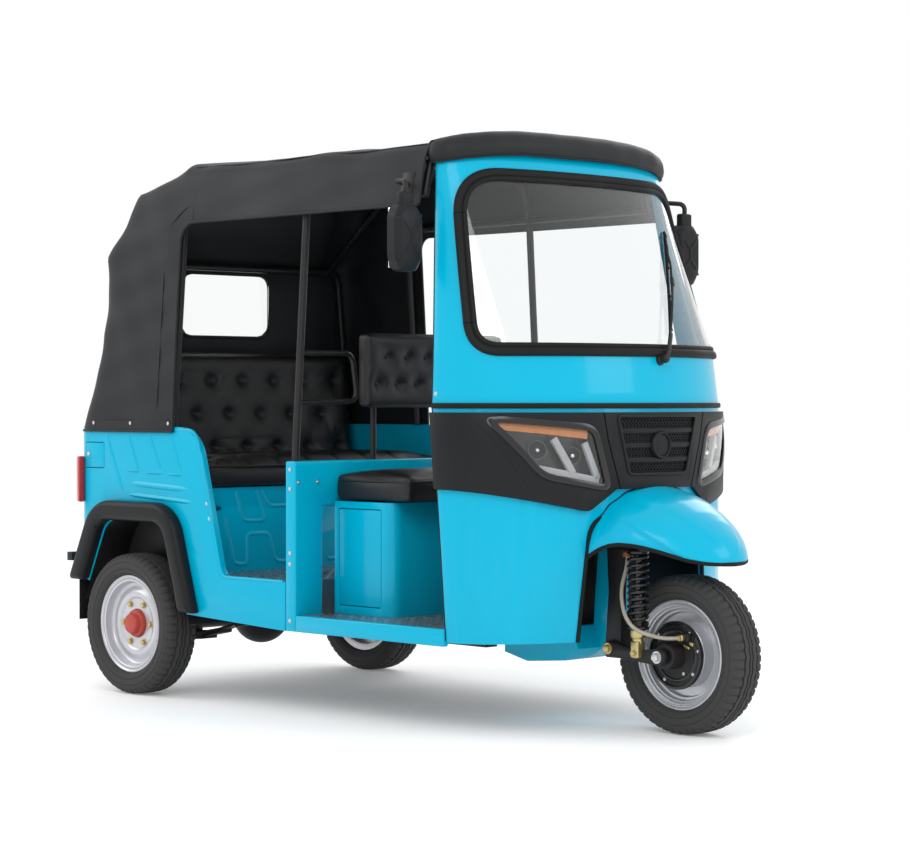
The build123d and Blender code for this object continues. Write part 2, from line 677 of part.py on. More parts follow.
def canopy_form(inset=0.0, spare=0.0):
    """The canvas top as a solid: side, front and plan outlines met together."""
    foot = BODY_TOP_Z - spare
    ahead = CANOPY_FRONT_X + spare
    side = (
        (TAIL_X - 0.34 * spare, foot),
        (rear_x(CANOPY_BACK_AHEAD), CANOPY_BEND_Z),
        (rear_x(CANOPY_BACK_AHEAD), CANOPY_SHOULDER_Z),
        (rear_x(-60), CANOPY_BREAK_Z),
        (rear_x(240), ROOF_TOP_Z + 1),
        (ahead, ROOF_TOP_Z + 1),
        (ahead, foot),
    )
    cross = (
        (-BODY_HALF - 0.05 * spare, foot),
        (-CANOPY_SIDE_HALF, EAVE_Z - 58),
        (-CANOPY_EDGE_HALF, ROOF_TOP_Z - 45),
        (0, ROOF_TOP_Z),
        (CANOPY_EDGE_HALF, ROOF_TOP_Z - 45),
        (CANOPY_SIDE_HALF, EAVE_Z - 58),
        (BODY_HALF + 0.05 * spare, foot),
    )
    half = BODY_HALF + spare
    plan = ((TAIL_X - spare, -half), (ahead, -half), (ahead, half), (TAIL_X - spare, half))
    with BuildPart() as form:
        add(side_prism(side, (0, 150, 150, 250, 400, 0, 0), -half, half, -inset))
        add(front_outline(cross, (0, 300, 70, 3000, 70, 300, 0), TAIL_X - spare, ahead - TAIL_X + spare, -inset),
            mode=Mode.INTERSECT)
        add(plan_prism(plan, (CANOPY_CORNER_R, 0, 0, CANOPY_CORNER_R), foot, ROOF_TOP_Z + 10, -inset),
            mode=Mode.INTERSECT)
    return form.part


DOOR_AHEAD = 248.0
WINDOW_HALF = 205.0
WINDOW_FOOT_Z = CANOPY_BEND_Z + 12
WINDOW_TOP_Z = CANOPY_SHOULDER_Z - 26
WINDOW_CORNER = 30.0
WINDOW_T = 3.0
DOOR_SIDE = (
    (rear_x(DOOR_AHEAD), BODY_TOP_Z - 99),
    (rear_x(DOOR_AHEAD), EAVE_Z),
    (CANOPY_FRONT_X + 99, EAVE_Z + 12),
    (CANOPY_FRONT_X + 99, BODY_TOP_Z - 99),
)
WINDOW_POINTS = (
    (-WINDOW_HALF, WINDOW_FOOT_Z),
    (WINDOW_HALF, WINDOW_FOOT_Z),
    (WINDOW_HALF, WINDOW_TOP_Z),
    (-WINDOW_HALF, WINDOW_TOP_Z),
)

with BuildPart() as canopy:
    add(canopy_form())
    add(canopy_form(CANOPY_T, 40), mode=Mode.SUBTRACT)
    add(side_prism(DOOR_SIDE, (0, 60, 0, 0), -BODY_HALF - 99, BODY_HALF + 99), mode=Mode.SUBTRACT)
    add(front_outline(WINDOW_POINTS, WINDOW_CORNER, x=TAIL_X, depth=200), mode=Mode.SUBTRACT)
save(canopy.part, "canopy")

with BuildPart() as rear_window:
    add(front_outline(WINDOW_POINTS, WINDOW_CORNER, rear_x(CANOPY_BACK_AHEAD + 1), WINDOW_T, -SEAT_GAP))
save(rear_window.part, "rear_window")

HOOP_R = 12.5
RAIL_HALF = ROOF_HALF + 16
RAIL_Z = EAVE_Z + 26
POLE_AHEAD = PARTITION_AHEAD + PARTITION_T / 2
HOOP_FOOT_HALF = BODY_HALF - 24
HOOP_AHEAD = DOOR_AHEAD - 30
REAR_HOOP_AHEAD = CANOPY_BACK_AHEAD + 40
REAR_HOOP_Z = CANOPY_SHOULDER_Z - 2
FOOT_RISE = 30.0
HOOP_TOP_Z = ROOF_TOP_Z - 38
HOOP_TOP_HALF = ROOF_HALF - 18

with BuildPart() as canopy_frame:
    foot = BODY_TOP_Z + SEAT_GAP
    for ahead, foot_z, foot_half in (
        (HOOP_AHEAD, foot, HOOP_FOOT_HALF),
        (POLE_AHEAD, PARTITION_TOP_Z + SEAT_GAP, HOOP_FOOT_HALF),
    ):
        x = rear_x(ahead)
        add(tube((
            (x, -foot_half, foot_z),
            (x, -foot_half, foot_z + FOOT_RISE),
            (x, -RAIL_HALF - 4, RAIL_Z),
            (x, -HOOP_TOP_HALF, HOOP_TOP_Z - 30),
            (x, 0, HOOP_TOP_Z + 6),
            (x, HOOP_TOP_HALF, HOOP_TOP_Z - 30),
            (x, RAIL_HALF + 4, RAIL_Z),
            (x, foot_half, foot_z + FOOT_RISE),
            (x, foot_half, foot_z),
        ), HOOP_R, 50))
    x = rear_x(REAR_HOOP_AHEAD)
    add(tube((
        (x, -HOOP_FOOT_HALF, foot),
        (x, -HOOP_FOOT_HALF, foot + FOOT_RISE),
        (x, -RAIL_HALF, REAR_HOOP_Z),
        (x, RAIL_HALF, REAR_HOOP_Z),
        (x, HOOP_FOOT_HALF, foot + FOOT_RISE),
        (x, HOOP_FOOT_HALF, foot),
    ), HOOP_R, 50))
    for side in (-1, 1):
        add(tube((
            (x, side * (RAIL_HALF - 50), REAR_HOOP_Z),
            (rear_x(HOOP_AHEAD), side * (HOOP_TOP_HALF - 40), HOOP_TOP_Z - 28),
        ), HOOP_R, 0))
    for side in (-1, 1):
        add(tube((
            (rear_x(HOOP_AHEAD), side * RAIL_HALF, RAIL_Z),
            (CANOPY_FRONT_X - 4, side * RAIL_HALF, RAIL_Z + 10),
        ), HOOP_R, 0))
    add(tube((
        (CANOPY_FRONT_X - HOOP_R, -RAIL_HALF, RAIL_Z),
        (CANOPY_FRONT_X - HOOP_R, -HOOP_TOP_HALF, HOOP_TOP_Z - 30),
        (CANOPY_FRONT_X - HOOP_R, 0, HOOP_TOP_Z + 6),
        (CANOPY_FRONT_X - HOOP_R, HOOP_TOP_HALF, HOOP_TOP_Z - 30),
        (CANOPY_FRONT_X - HOOP_R, RAIL_HALF, RAIL_Z),
    ), HOOP_R, 50))
save(canopy_frame.part, "canopy_frame")

VISOR_H = 52.0
VISOR_LAP = 22.0
VISOR_FOOT = HEADER._replace(edge=HEADER.edge - 20, reach=HEADER.reach + 20)
with BuildPart() as roof_visor:
    add(cab_loft((VISOR_FOOT, VISOR_FOOT._replace(z=HEADER_Z + VISOR_H)), VISOR_LAP))
    fillet(roof_visor.edges().group_by(Axis.Z)[-1].filter_by(GeomType.ELLIPSE), 30)
save(roof_visor.part, "roof_visor")

# Cab interior: bulkhead, dash shelf, seat box, seats and engine
with BuildPart() as bulkhead:
    add(cab_loft(NOSE_LONG, -CAB_T - SEAT_GAP, SPARE))
    add(block(BULKHEAD_X, BULKHEAD_X + BULKHEAD_T, -BODY_HALF, BODY_HALF,
              DRIVER_FLOOR_Z - FLOOR_T, BULKHEAD_TOP_Z), mode=Mode.INTERSECT)
save(bulkhead.part, "bulkhead")

DASH_Z = 1040.0
DASH_T = 16.0
DASH_ROWS = (between(BELT, COWL, DASH_Z), between(BELT, COWL, DASH_Z + DASH_T))
with BuildPart() as dash_shelf:
    add(cab_loft(DASH_ROWS, -CAB_T - SEAT_GAP))
    add(block(front_x(900), front_x(262), -BODY_HALF, BODY_HALF, DASH_Z - 1, DASH_Z + DASH_T + 1), mode=Mode.SUBTRACT)
save(dash_shelf.part, "dash_shelf")

DOOR_EDGE = 22.0
DOOR_FOOT_Z = DRIVER_FLOOR_Z + 26
DOOR_TOP_Z = SEAT_BOX_TOP_Z - 22
DOOR_GAP = 3.0
DOOR_PIN_R = 3.0
DOOR_PIN_X = SEAT_BOX_FRONT_X - 48 - DOOR_GAP - 5
DOOR_PIN_Y = SEAT_BOX_T / 2 - SEAT_BOX_HALF
SEAT_BOX_PLAN = (
    (SEAT_BOX_X, -SEAT_BOX_HALF),
    (SEAT_BOX_FRONT_X, -SEAT_BOX_HALF),
    (SEAT_BOX_FRONT_X, SEAT_BOX_HALF),
    (SEAT_BOX_X, SEAT_BOX_HALF),
)
SEAT_BOX_INSIDE = (
    (SEAT_BOX_X + SEAT_BOX_T, SEAT_BOX_T - SEAT_BOX_HALF),
    (SEAT_BOX_FRONT_X - SEAT_BOX_T, SEAT_BOX_T - SEAT_BOX_HALF),
    (SEAT_BOX_FRONT_X - SEAT_BOX_T, SEAT_BOX_HALF - SEAT_BOX_T),
    (SEAT_BOX_X + SEAT_BOX_T, SEAT_BOX_HALF - SEAT_BOX_T),
)
with BuildPart() as seat_box:
    add(plan_prism(SEAT_BOX_PLAN, (0, 45, 45, 0), DRIVER_FLOOR_Z, SEAT_BOX_TOP_Z))
    add(plan_prism(SEAT_BOX_INSIDE, (0, 35, 35, 0), 0, SEAT_BOX_TOP_Z - SEAT_BOX_T), mode=Mode.SUBTRACT)
    add(block(SEAT_BOX_X + DOOR_EDGE, SEAT_BOX_FRONT_X - 48, -SEAT_BOX_HALF - 1, SEAT_BOX_T + 1 - SEAT_BOX_HALF,
              DOOR_FOOT_Z, DOOR_TOP_Z), mode=Mode.SUBTRACT)
    add(block(SEAT_BOX_X - 1, SEAT_BOX_X + SEAT_BOX_T + 1, -TUNNEL_HALF, TUNNEL_HALF, 0, TUNNEL_TOP_Z),
        mode=Mode.SUBTRACT)
    with Locations((DOOR_PIN_X, DOOR_PIN_Y, DOOR_FOOT_Z + 9), (DOOR_PIN_X, DOOR_PIN_Y, DOOR_TOP_Z - 9)):
        Cylinder(DOOR_PIN_R, 18)
save(seat_box.part, "seat_box")

with BuildPart() as seat_box_door:
    add(block(SEAT_BOX_X + DOOR_EDGE + DOOR_GAP, SEAT_BOX_FRONT_X - 48 - DOOR_GAP, -SEAT_BOX_HALF,
              SEAT_BOX_T - SEAT_BOX_HALF, DOOR_FOOT_Z + DOOR_GAP, DOOR_TOP_Z - DOOR_GAP))
    with Locations((DOOR_PIN_X, DOOR_PIN_Y, DOOR_FOOT_Z), (DOOR_PIN_X, DOOR_PIN_Y, DOOR_TOP_Z)):
        Cylinder(DOOR_PIN_R + PIN_PLAY, 40, mode=Mode.SUBTRACT)
save(seat_box_door.part, "seat_box_door")

DRIVER_CUSHION_T = 92.0
with BuildPart() as driver_cushion:
    add(block(SEAT_BOX_X, SEAT_BOX_FRONT_X + 84, -SEAT_BOX_HALF - 6, SEAT_BOX_HALF + 6,
              SEAT_BOX_TOP_Z, SEAT_BOX_TOP_Z + DRIVER_CUSHION_T))
    fillet(driver_cushion.edges().filter_by(Axis.Z, reverse=True).group_by(Axis.Z)[-1], 22)
save(driver_cushion.part, "driver_cushion")

POST_R = 10.0
POST_X = rear_x(POLE_AHEAD)
DRIVER_BACK_T = 65.0
DRIVER_BACK_HALF = 320.0
DRIVER_BACK_FOOT_Z = 990.0
DRIVER_BACK_TOP_Z = 1239.0
with BuildPart() as driver_backrest:
    add(block(POST_X + POST_R + SEAT_GAP, POST_X + POST_R + DRIVER_BACK_T, -DRIVER_BACK_HALF, DRIVER_BACK_HALF,
              DRIVER_BACK_FOOT_Z, DRIVER_BACK_TOP_Z))
    fillet(driver_backrest.edges().group_by(Axis.X)[-1], 24)
save(driver_backrest.part, "driver_backrest")

with BuildPart() as backrest_posts:
    post_foot = PARTITION_TOP_Z + SEAT_GAP
    add(tube((
        (POST_X, -DRIVER_BACK_HALF + 90, post_foot),
        (POST_X, -DRIVER_BACK_HALF + 90, DRIVER_BACK_TOP_Z - 40),
        (POST_X, DRIVER_BACK_HALF - 90, DRIVER_BACK_TOP_Z - 40),
        (POST_X, DRIVER_BACK_HALF - 90, post_foot),
    ), POST_R, 40))
save(backrest_posts.part, "backrest_posts")

# Chassis: stepped rails with cross-members, under the floors
RAIL_W = 50.0
RAIL_FOOT_Z = 250.0
REAR_RAIL_FOOT_Z = 350.0
CROSS_T = 22.0
RAIL_SIDE = (
    (rear_x(-285), PASSENGER_FLOOR_Z - FLOOR_T),
    (rear_x(745), PASSENGER_FLOOR_Z - FLOOR_T),
    (rear_x(845), DRIVER_FLOOR_Z - FLOOR_T),
    (front_x(520), DRIVER_FLOOR_Z - FLOOR_T),
    (front_x(520), RAIL_FOOT_Z),
    (rear_x(825), RAIL_FOOT_Z),
    (rear_x(725), REAR_RAIL_FOOT_Z),
    (rear_x(-285), REAR_RAIL_FOOT_Z),
)
SPRING_REACH = 290.0
SPRING_EYE_Z = 250.0
SPRING_LOW_Z = 195.0
LEAF_T = 10.0
LEAF_W = 54.0
EYE_R = 14.0
KEEL_BACK = 640.0

with BuildPart() as chassis_frame:
    for side in (-1, 1):
        add(side_prism(RAIL_SIDE, None, side * RAIL_Y - RAIL_W / 2, side * RAIL_Y + RAIL_W / 2))
        for end in (-1, 1):
            add(block(rear_x(end * SPRING_REACH - 24), rear_x(end * SPRING_REACH + 24),
                      side * RAIL_Y - LEAF_W / 2, side * RAIL_Y + LEAF_W / 2,
                      SPRING_EYE_Z + EYE_R + SEAT_GAP, REAR_RAIL_FOOT_Z + 1))
    add(block(rear_x(-SPRING_REACH - 24), rear_x(-235), -RAIL_Y - LEAF_W / 2, RAIL_Y + LEAF_W / 2,
              REAR_RAIL_FOOT_Z, REAR_RAIL_FOOT_Z + 40))
    add(block(rear_x(430), rear_x(480), -RAIL_Y, RAIL_Y, REAR_RAIL_FOOT_Z, PASSENGER_FLOOR_Z - FLOOR_T))
    for x in (ENGINE_X + 10, ENGINE_FRONT_X - 50):
        add(block(x, x + 40, -RAIL_Y, RAIL_Y, RAIL_FOOT_Z, RAIL_FOOT_Z + CROSS_T))
    add(block(front_x(KEEL_BACK + 60), front_x(KEEL_BACK), -RAIL_Y, RAIL_Y, RAIL_FOOT_Z, DRIVER_FLOOR_Z - FLOOR_T))
save(chassis_frame.part, "chassis_frame")

ENGINE_FOOT_Z = RAIL_FOOT_Z + CROSS_T
SHAFT_R = 22.0
SHAFT_Z = 347.0
with BuildPart() as engine_block:
    add(block(ENGINE_X, ENGINE_FRONT_X, -ENGINE_HALF, ENGINE_HALF, ENGINE_FOOT_Z, ENGINE_FOOT_Z + ENGINE_H))
    fillet(engine_block.edges().filter_by(Axis.Z), 30)
save(engine_block.part, "engine_block")

# Rear axle, springs and drive shaft
AXLE_TUBE_R = 35.0
AXLE_END_Y = WHEEL_Y - 75
SPINDLE_R = 20.0
DIFF_R = 105.0
DIFF_NOSE = 150.0
ALONG_Y = Location((REAR_AXLE_X, 0, AXLE_Z), (90, 0, 0))
with BuildPart() as rear_axle:
    with Locations(ALONG_Y):
        Cylinder(AXLE_TUBE_R, 2 * AXLE_END_Y)
        Cylinder(SPINDLE_R, 2 * (WHEEL_Y + 10))
    with Locations((REAR_AXLE_X, 0, AXLE_Z)):
        Sphere(DIFF_R)
    with Locations(Location((REAR_AXLE_X + DIFF_NOSE / 2, 0, AXLE_Z), (0, 90, 0))):
        Cylinder(46, DIFF_NOSE)
    for side in (-1, 1):
        with Locations(Location((REAR_AXLE_X, side * (AXLE_END_Y - 6), AXLE_Z), (90, 0, 0))):
            Cylinder(112, 12)
        add(block(REAR_AXLE_X - 40, REAR_AXLE_X + 40, side * RAIL_Y - LEAF_W / 2, side * RAIL_Y + LEAF_W / 2,
                  SPRING_LOW_Z + LEAF_T + 4 * SEAT_GAP, AXLE_Z))
save(rear_axle.part, "rear_axle")


def leaf(reach, drop):
    """One spring leaf of the right-hand spring: an arc strip under the one above."""
    rise = (SPRING_EYE_Z - LEAF_T / 2 - SPRING_LOW_Z) * (reach / SPRING_REACH) ** 2
    low = SPRING_LOW_Z - drop
    with BuildPart() as strip:
        with BuildSketch(Plane.XZ.offset(RAIL_Y - LEAF_W / 2)):
            with BuildLine():
                top = ThreePointArc((rear_x(-reach), low + rise + LEAF_T), (REAR_AXLE_X, low + LEAF_T),
                                    (rear_x(reach), low + rise + LEAF_T))
                foot = ThreePointArc((rear_x(-reach), low + rise), (REAR_AXLE_X, low), (rear_x(reach), low + rise))
                Line(top @ 0, foot @ 0)
                Line(top @ 1, foot @ 1)
            make_face()
        extrude(amount=LEAF_W)
    return strip.part


with BuildPart() as leaf_springs:
    add(leaf(SPRING_REACH, 0))
    add(leaf(0.7 * SPRING_REACH, LEAF_T))
    add(leaf(0.42 * SPRING_REACH, 2 * LEAF_T))
    for end in (-1, 1):
        with Locations(Location((rear_x(end * SPRING_REACH), -RAIL_Y, SPRING_EYE_Z), (90, 0, 0))):
            Cylinder(EYE_R, LEAF_W)
    mirror(about=Plane.XZ)
save(leaf_springs.part, "leaf_springs")

with BuildPart() as drive_shaft:
    add(tube((
        (rear_x(DIFF_NOSE + SEAT_GAP), 0, AXLE_Z),
        (rear_x(DIFF_NOSE + 60), 0, AXLE_Z),
        (ENGINE_X - 50, 0, SHAFT_Z),
        (ENGINE_X - SEAT_GAP, 0, SHAFT_Z),
    ), SHAFT_R, 20))
save(drive_shaft.part, "drive_shaft")

# Wheels: one section for tyre and rim, turned about the axle
BEAD_R = RIM_R - 15
TYRE_SECTION = (
    (BEAD_R + SEAT_GAP, -44),
    (RIM_R + 2, -44),
    (RIM_R + 10, -TYRE_W / 2),
    (TYRE_R - 13, -TYRE_W / 2),
    (TYRE_R, -42),
    (TYRE_R, 42),
    (TYRE_R - 13, TYRE_W / 2),
    (RIM_R + 10, TYRE_W / 2),
    (RIM_R + 2, 44),
    (BEAD_R + SEAT_GAP, 44),
)
TYRE_RADII = (0, 3, 14, 12, 14, 14, 12, 14, 3, 0)
HUB_HOLE_R = 48.0
DISC_W = 8.0
DISC_T = 6.0
BARREL_T = 6.0


def wheel_turn(section, radii, x, y):
    """A wheel piece from its section (radius, outward), turned about the Y axis."""
    with BuildPart() as turned:
        with BuildSketch(Plane(origin=(x, y, AXLE_Z), x_dir=(0, 0, 1), z_dir=(-1, 0, 0))):
            with BuildLine():
                if radii:
                    FilletPolyline(*section, radius=radii, close=True)
                else:
                    Polyline(*section, close=True)
            make_face()
        revolve(axis=Axis((x, y, AXLE_Z), (0, 1, 0)))
    return turned.part


def rim_section(hole):
    """The rim in section: two flanges, a barrel and a disc with a centre hole."""
    inner = BEAD_R - BARREL_T
    return (
        (RIM_R, -RIM_W / 2), (RIM_R, 5 - RIM_W / 2), (BEAD_R, 5 - RIM_W / 2),
        (BEAD_R, RIM_W / 2 - 5), (RIM_R, RIM_W / 2 - 5), (RIM_R, RIM_W / 2),
        (inner, RIM_W / 2), (inner, DISC_W + DISC_T), (hole, DISC_W + DISC_T),
        (hole, DISC_W), (inner, DISC_W), (inner, -RIM_W / 2),
    )


HUB_SECTION = (
    (SPINDLE_R + 0.06, -66), (105, -66), (105, DISC_W - SEAT_GAP), (HUB_HOLE_R - SEAT_GAP, DISC_W - SEAT_GAP),
    (HUB_HOLE_R - SEAT_GAP, 24), (36, 46), (0, 46), (0, 14), (SPINDLE_R + 0.06, 14),
)

for side, suffix in ((1, "left"), (-1, "right")):
    outward = Plane.XZ
    tyre = wheel_turn(TYRE_SECTION, TYRE_RADII, REAR_AXLE_X, WHEEL_Y)
    rim = wheel_turn(rim_section(HUB_HOLE_R), None, REAR_AXLE_X, WHEEL_Y)
    hub = wheel_turn(HUB_SECTION, None, REAR_AXLE_X, WHEEL_Y)
    if side < 0:
        tyre, rim, hub = (piece.mirror(outward) for piece in (tyre, rim, hub))
    save(tyre, f"rear_tyre_{suffix}")
    save(rim, f"rear_rim_{suffix}")
    save(hub, f"rear_hub_{suffix}")

save(wheel_turn(TYRE_SECTION, TYRE_RADII, FRONT_AXLE_X, 0), "front_tyre")

FRONT_AXLE_R = 12.0
DRUM_SECTION = (
    (FRONT_AXLE_R + 0.06, -50), (96, -50), (96, DISC_W), (60, DISC_W), (60, 40), (FRONT_AXLE_R + 0.06, 40),
)
with BuildPart() as front_rim:
    add(wheel_turn(rim_section(60), None, FRONT_AXLE_X, 0))
    add(wheel_turn(DRUM_SECTION, None, FRONT_AXLE_X, 0))
save(front_rim.part, "front_rim")

# Steering: raked stem in a head tube, one-sided leading link with its shock absorber
RAKE = radians(STEER_RAKE)
AXIS_DIR = (-sin(RAKE), 0, cos(RAKE))


def steer_x(z):
    """X of the steering axis at height z."""
    return FRONT_AXLE_X + STEER_TRAIL - z * tan(RAKE)


def steer_bar(z_low, z_high, radius):
    """A round bar along the steering axis between two heights."""
    length = (z_high - z_low) / cos(RAKE)
    with BuildPart() as bar:
        with BuildSketch(Plane(origin=(steer_x(z_low), 0, z_low), z_dir=AXIS_DIR)):
            Circle(radius)
        extrude(amount=length)
    return bar.part


STEM_R = 25.0
HEAD_R = 38.0
HEAD_FOOT_Z = 612.0
HEAD_TOP_Z = 800.0
CROWN_FOOT_Z = 560.0
CROWN_T = 25.0
LEG_Y = -114.0
LEG_T = 24.0
PIVOT_BACK = 198.0
PIVOT_Z = 256.0
SHOCK_BACK = 75.0
SHOCK_Y = -150.0
SHOCK_FOOT_Z = 262.0
LINK_Y = LEG_Y - LEG_T
LINK_T = 22.0

BACKBONE_SIDE = from_front((
    (KEEL_BACK - SEAT_GAP, DRIVER_FLOOR_Z - FLOOR_T - SEAT_GAP),
    (KEEL_BACK - SEAT_GAP, 215),
    (540, 192),
    (380, 205),
    (282, 262),
    (285, 400),
    (290, 590),
    (225, 640),
    (275, 780),
    (308, 770),
    (345, 420),
    (352, DRIVER_FLOOR_Z - FLOOR_T - SEAT_GAP),
))
PAN_SIDE = BACKBONE_SIDE[:4] + from_front(((320, 245), (352, DRIVER_FLOOR_Z - FLOOR_T - SEAT_GAP)))
with BuildPart() as front_frame:
    add(side_prism(BACKBONE_SIDE, None, -45, 45))
    add(side_prism(PAN_SIDE, None, -150, 150))
    add(steer_bar(HEAD_FOOT_Z, HEAD_TOP_Z, HEAD_R))
    add(steer_bar(HEAD_FOOT_Z - 60, HEAD_TOP_Z + 60, STEM_R + 0.06), mode=Mode.SUBTRACT)
save(front_frame.part, "front_frame")

CROWN_PLAN = (
    (front_x(225), 36),
    (front_x(150), 36),
    (front_x(34), -112),
    (front_x(34), SHOCK_Y - 26),
    (front_x(225), LEG_Y - LEG_T / 2),
)
LEG_SIDE = from_front((
    (225, CROWN_FOOT_Z + CROWN_T),
    (150, CROWN_FOOT_Z + CROWN_T),
    (166, 430),
    (PIVOT_BACK - 32, PIVOT_Z),
    (PIVOT_BACK - 28, PIVOT_Z - 30),
    (PIVOT_BACK + 28, PIVOT_Z - 30),
    (PIVOT_BACK + 32, PIVOT_Z),
    (216, 430),
))
with BuildPart() as steering_fork:
    add(plan_prism(CROWN_PLAN, (0, 20, 20, 20, 0), CROWN_FOOT_Z, CROWN_FOOT_Z + CROWN_T))
    add(side_prism(LEG_SIDE, None, LEG_Y - LEG_T / 2, LEG_Y + LEG_T / 2))
    add(steer_bar(CROWN_FOOT_Z + 4, 965, STEM_R))
save(steering_fork.part, "steering_fork")

with BuildPart() as front_link:
    with BuildSketch(Plane.XZ.offset(LEG_T / 2 + SEAT_GAP - LEG_Y)):
        with BuildLine():
            Polyline(
                (front_x(PIVOT_BACK), PIVOT_Z + 24),
                (front_x(SHOCK_BACK + 26), SHOCK_FOOT_Z),
                (front_x(SHOCK_BACK - 26), SHOCK_FOOT_Z),
                (FRONT_AXLE_X, AXLE_Z + 26),
                (FRONT_AXLE_X, AXLE_Z - 26),
                (front_x(PIVOT_BACK), PIVOT_Z - 24),
                close=True,
            )
        make_face()
        with Locations((front_x(PIVOT_BACK), PIVOT_Z)):
            Circle(24)
        with Locations((FRONT_AXLE_X, AXLE_Z)):
            Circle(26)
    extrude(amount=LINK_T)
    with Locations(Location((FRONT_AXLE_X, (LINK_Y + 30) / 2, AXLE_Z), (90, 0, 0))):
        Cylinder(FRONT_AXLE_R, 30 - LINK_Y)
save(front_link.part, "front_link")

PLATE_Y = -58.0
with BuildPart() as brake_plate:
    with Locations(Location((FRONT_AXLE_X, PLATE_Y, AXLE_Z), (90, 0, 0))):
        Cylinder(104, 8)
    with Locations(Location((FRONT_AXLE_X, PLATE_Y - 30, AXLE_Z), (90, 0, 0))):
        Cylinder(40, 60)
    with Locations((front_x(-46), PLATE_Y - 14, AXLE_Z + 58)):
        Box(40, 22, 26)
    with Locations(Location((FRONT_AXLE_X, PLATE_Y, AXLE_Z), (90, 0, 0))):
        Cylinder(FRONT_AXLE_R + SEAT_GAP, 200, mode=Mode.SUBTRACT)
save(brake_plate.part, "brake_plate")

# Shock absorber section: radius and height of each ridge of the sprung body
SHOCK_RIDGES = 9
SHOCK_LOW_R = 20.0
SHOCK_COIL_R = 33.0
SHOCK_VALLEY_R = 25.0
SHOCK_COIL_Z = 322.0
SHOCK_TOP_Z = CROWN_FOOT_Z - SEAT_GAP
with BuildPart() as front_shock:
    with BuildSketch(Plane(origin=(front_x(SHOCK_BACK), SHOCK_Y, 0), x_dir=(1, 0, 0), z_dir=(0, -1, 0))):
        with BuildLine():
            pitch = (SHOCK_TOP_Z - SHOCK_COIL_Z - 12) / SHOCK_RIDGES
            ridge = [(0, SHOCK_FOOT_Z + SEAT_GAP), (SHOCK_LOW_R, SHOCK_FOOT_Z + SEAT_GAP)]
            ridge += [(SHOCK_LOW_R, SHOCK_COIL_Z), (SHOCK_VALLEY_R, SHOCK_COIL_Z)]
            for count in range(SHOCK_RIDGES):
                low = SHOCK_COIL_Z + count * pitch
                ridge += [(SHOCK_COIL_R, low + pitch / 2), (SHOCK_VALLEY_R, low + pitch)]
            ridge += [(SHOCK_VALLEY_R, SHOCK_TOP_Z), (0, SHOCK_TOP_Z)]
            Polyline(*ridge, close=True)
        make_face()
    revolve(axis=Axis((front_x(SHOCK_BACK), SHOCK_Y, 0), (0, 0, 1)))
save(front_shock.part, "front_shock")

HOSE_R = 6.0
HOSE_BEND = 8 * HOSE_R
with BuildPart() as brake_hose:
    add(tube((
        (front_x(124), SHOCK_Y + 10, CROWN_FOOT_Z - SEAT_GAP),
        (front_x(124), SHOCK_Y + 10, CROWN_FOOT_Z - 40),
        (front_x(128), SHOCK_Y - 25, 430),
        (front_x(66), SHOCK_Y - 56, 332),
        (front_x(0), SHOCK_Y + 10, 300),
        (front_x(-46), PLATE_Y - 62, AXLE_Z + 58),
        (front_x(-46), PLATE_Y - 25 - SEAT_GAP, AXLE_Z + 58),
    ), HOSE_R, HOSE_BEND))
save(brake_hose.part, "brake_hose")

# Handlebar with grips on the stem's top
BAR_Z = 986.0
BAR_R = 11.0
GRIP_R = 16.0
GRIP_HALF = 335.0
with BuildPart() as handlebar:
    add(steer_bar(965 + SEAT_GAP, 1005, 32))
    for side in (-1, 1):
        inner = (front_x(470), side * 215, 1012)
        outer = (front_x(502), side * GRIP_HALF, 1014)
        add(tube(((steer_x(BAR_Z), 0, BAR_Z), (front_x(400), side * 110, 1006), inner, outer), BAR_R, 30))
        add(tube((inner, outer), GRIP_R, 0))
save(handlebar.part, "handlebar")

# Front fender: a shell of four arched sections, trimmed to the nose
class FenderRow(NamedTuple):
    """One arched section of the fender, measured rearward from the front axle."""

    back: float
    half: float
    top: float
    foot: float


FENDER_T = 7.0
FENDER_ROWS = (
    FenderRow(240, 288, 770, 545),
    FenderRow(90, 262, 738, 560),
    FenderRow(-60, 186, 668, 552),
    FenderRow(-172, 66, 590, 556),
)


def fender_loft(inset, drop):
    """The fender as a solid, set in all round and let down at its open foot."""
    with BuildPart() as arch:
        for row in FENDER_ROWS:
            x = front_x(row.back + (inset if row.back < -100 else 0))
            with BuildSketch(Plane.YZ.offset(x)):
                with BuildLine():
                    rise = row.top - row.foot - inset
                    crown = EllipticalCenterArc((0, row.foot), row.half - inset, rise, 0, arc_size=180)
                    Polyline(crown @ 1, (inset - row.half, row.foot - drop), (row.half - inset, row.foot - drop),
                             crown @ 0)
                make_face()
        loft()
    return arch.part


def band_room():
    """The lamp band with a small gap all round, as a cutter."""
    with BuildPart() as room:
        add(cab_loft(NOSE_LONG, BAND_PROUD + SEAT_GAP))
        add(front_outline(BAND_POINTS, BAND_RADII, margin=SEAT_GAP), mode=Mode.INTERSECT)
    return room.part


with BuildPart() as front_fender:
    add(fender_loft(0, 6))
    add(fender_loft(FENDER_T, 40), mode=Mode.SUBTRACT)
    add(cab_loft(NOSE_LONG, SEAT_GAP, 400), mode=Mode.SUBTRACT)
    add(band_room(), mode=Mode.SUBTRACT)
save(front_fender.part, "front_fender")

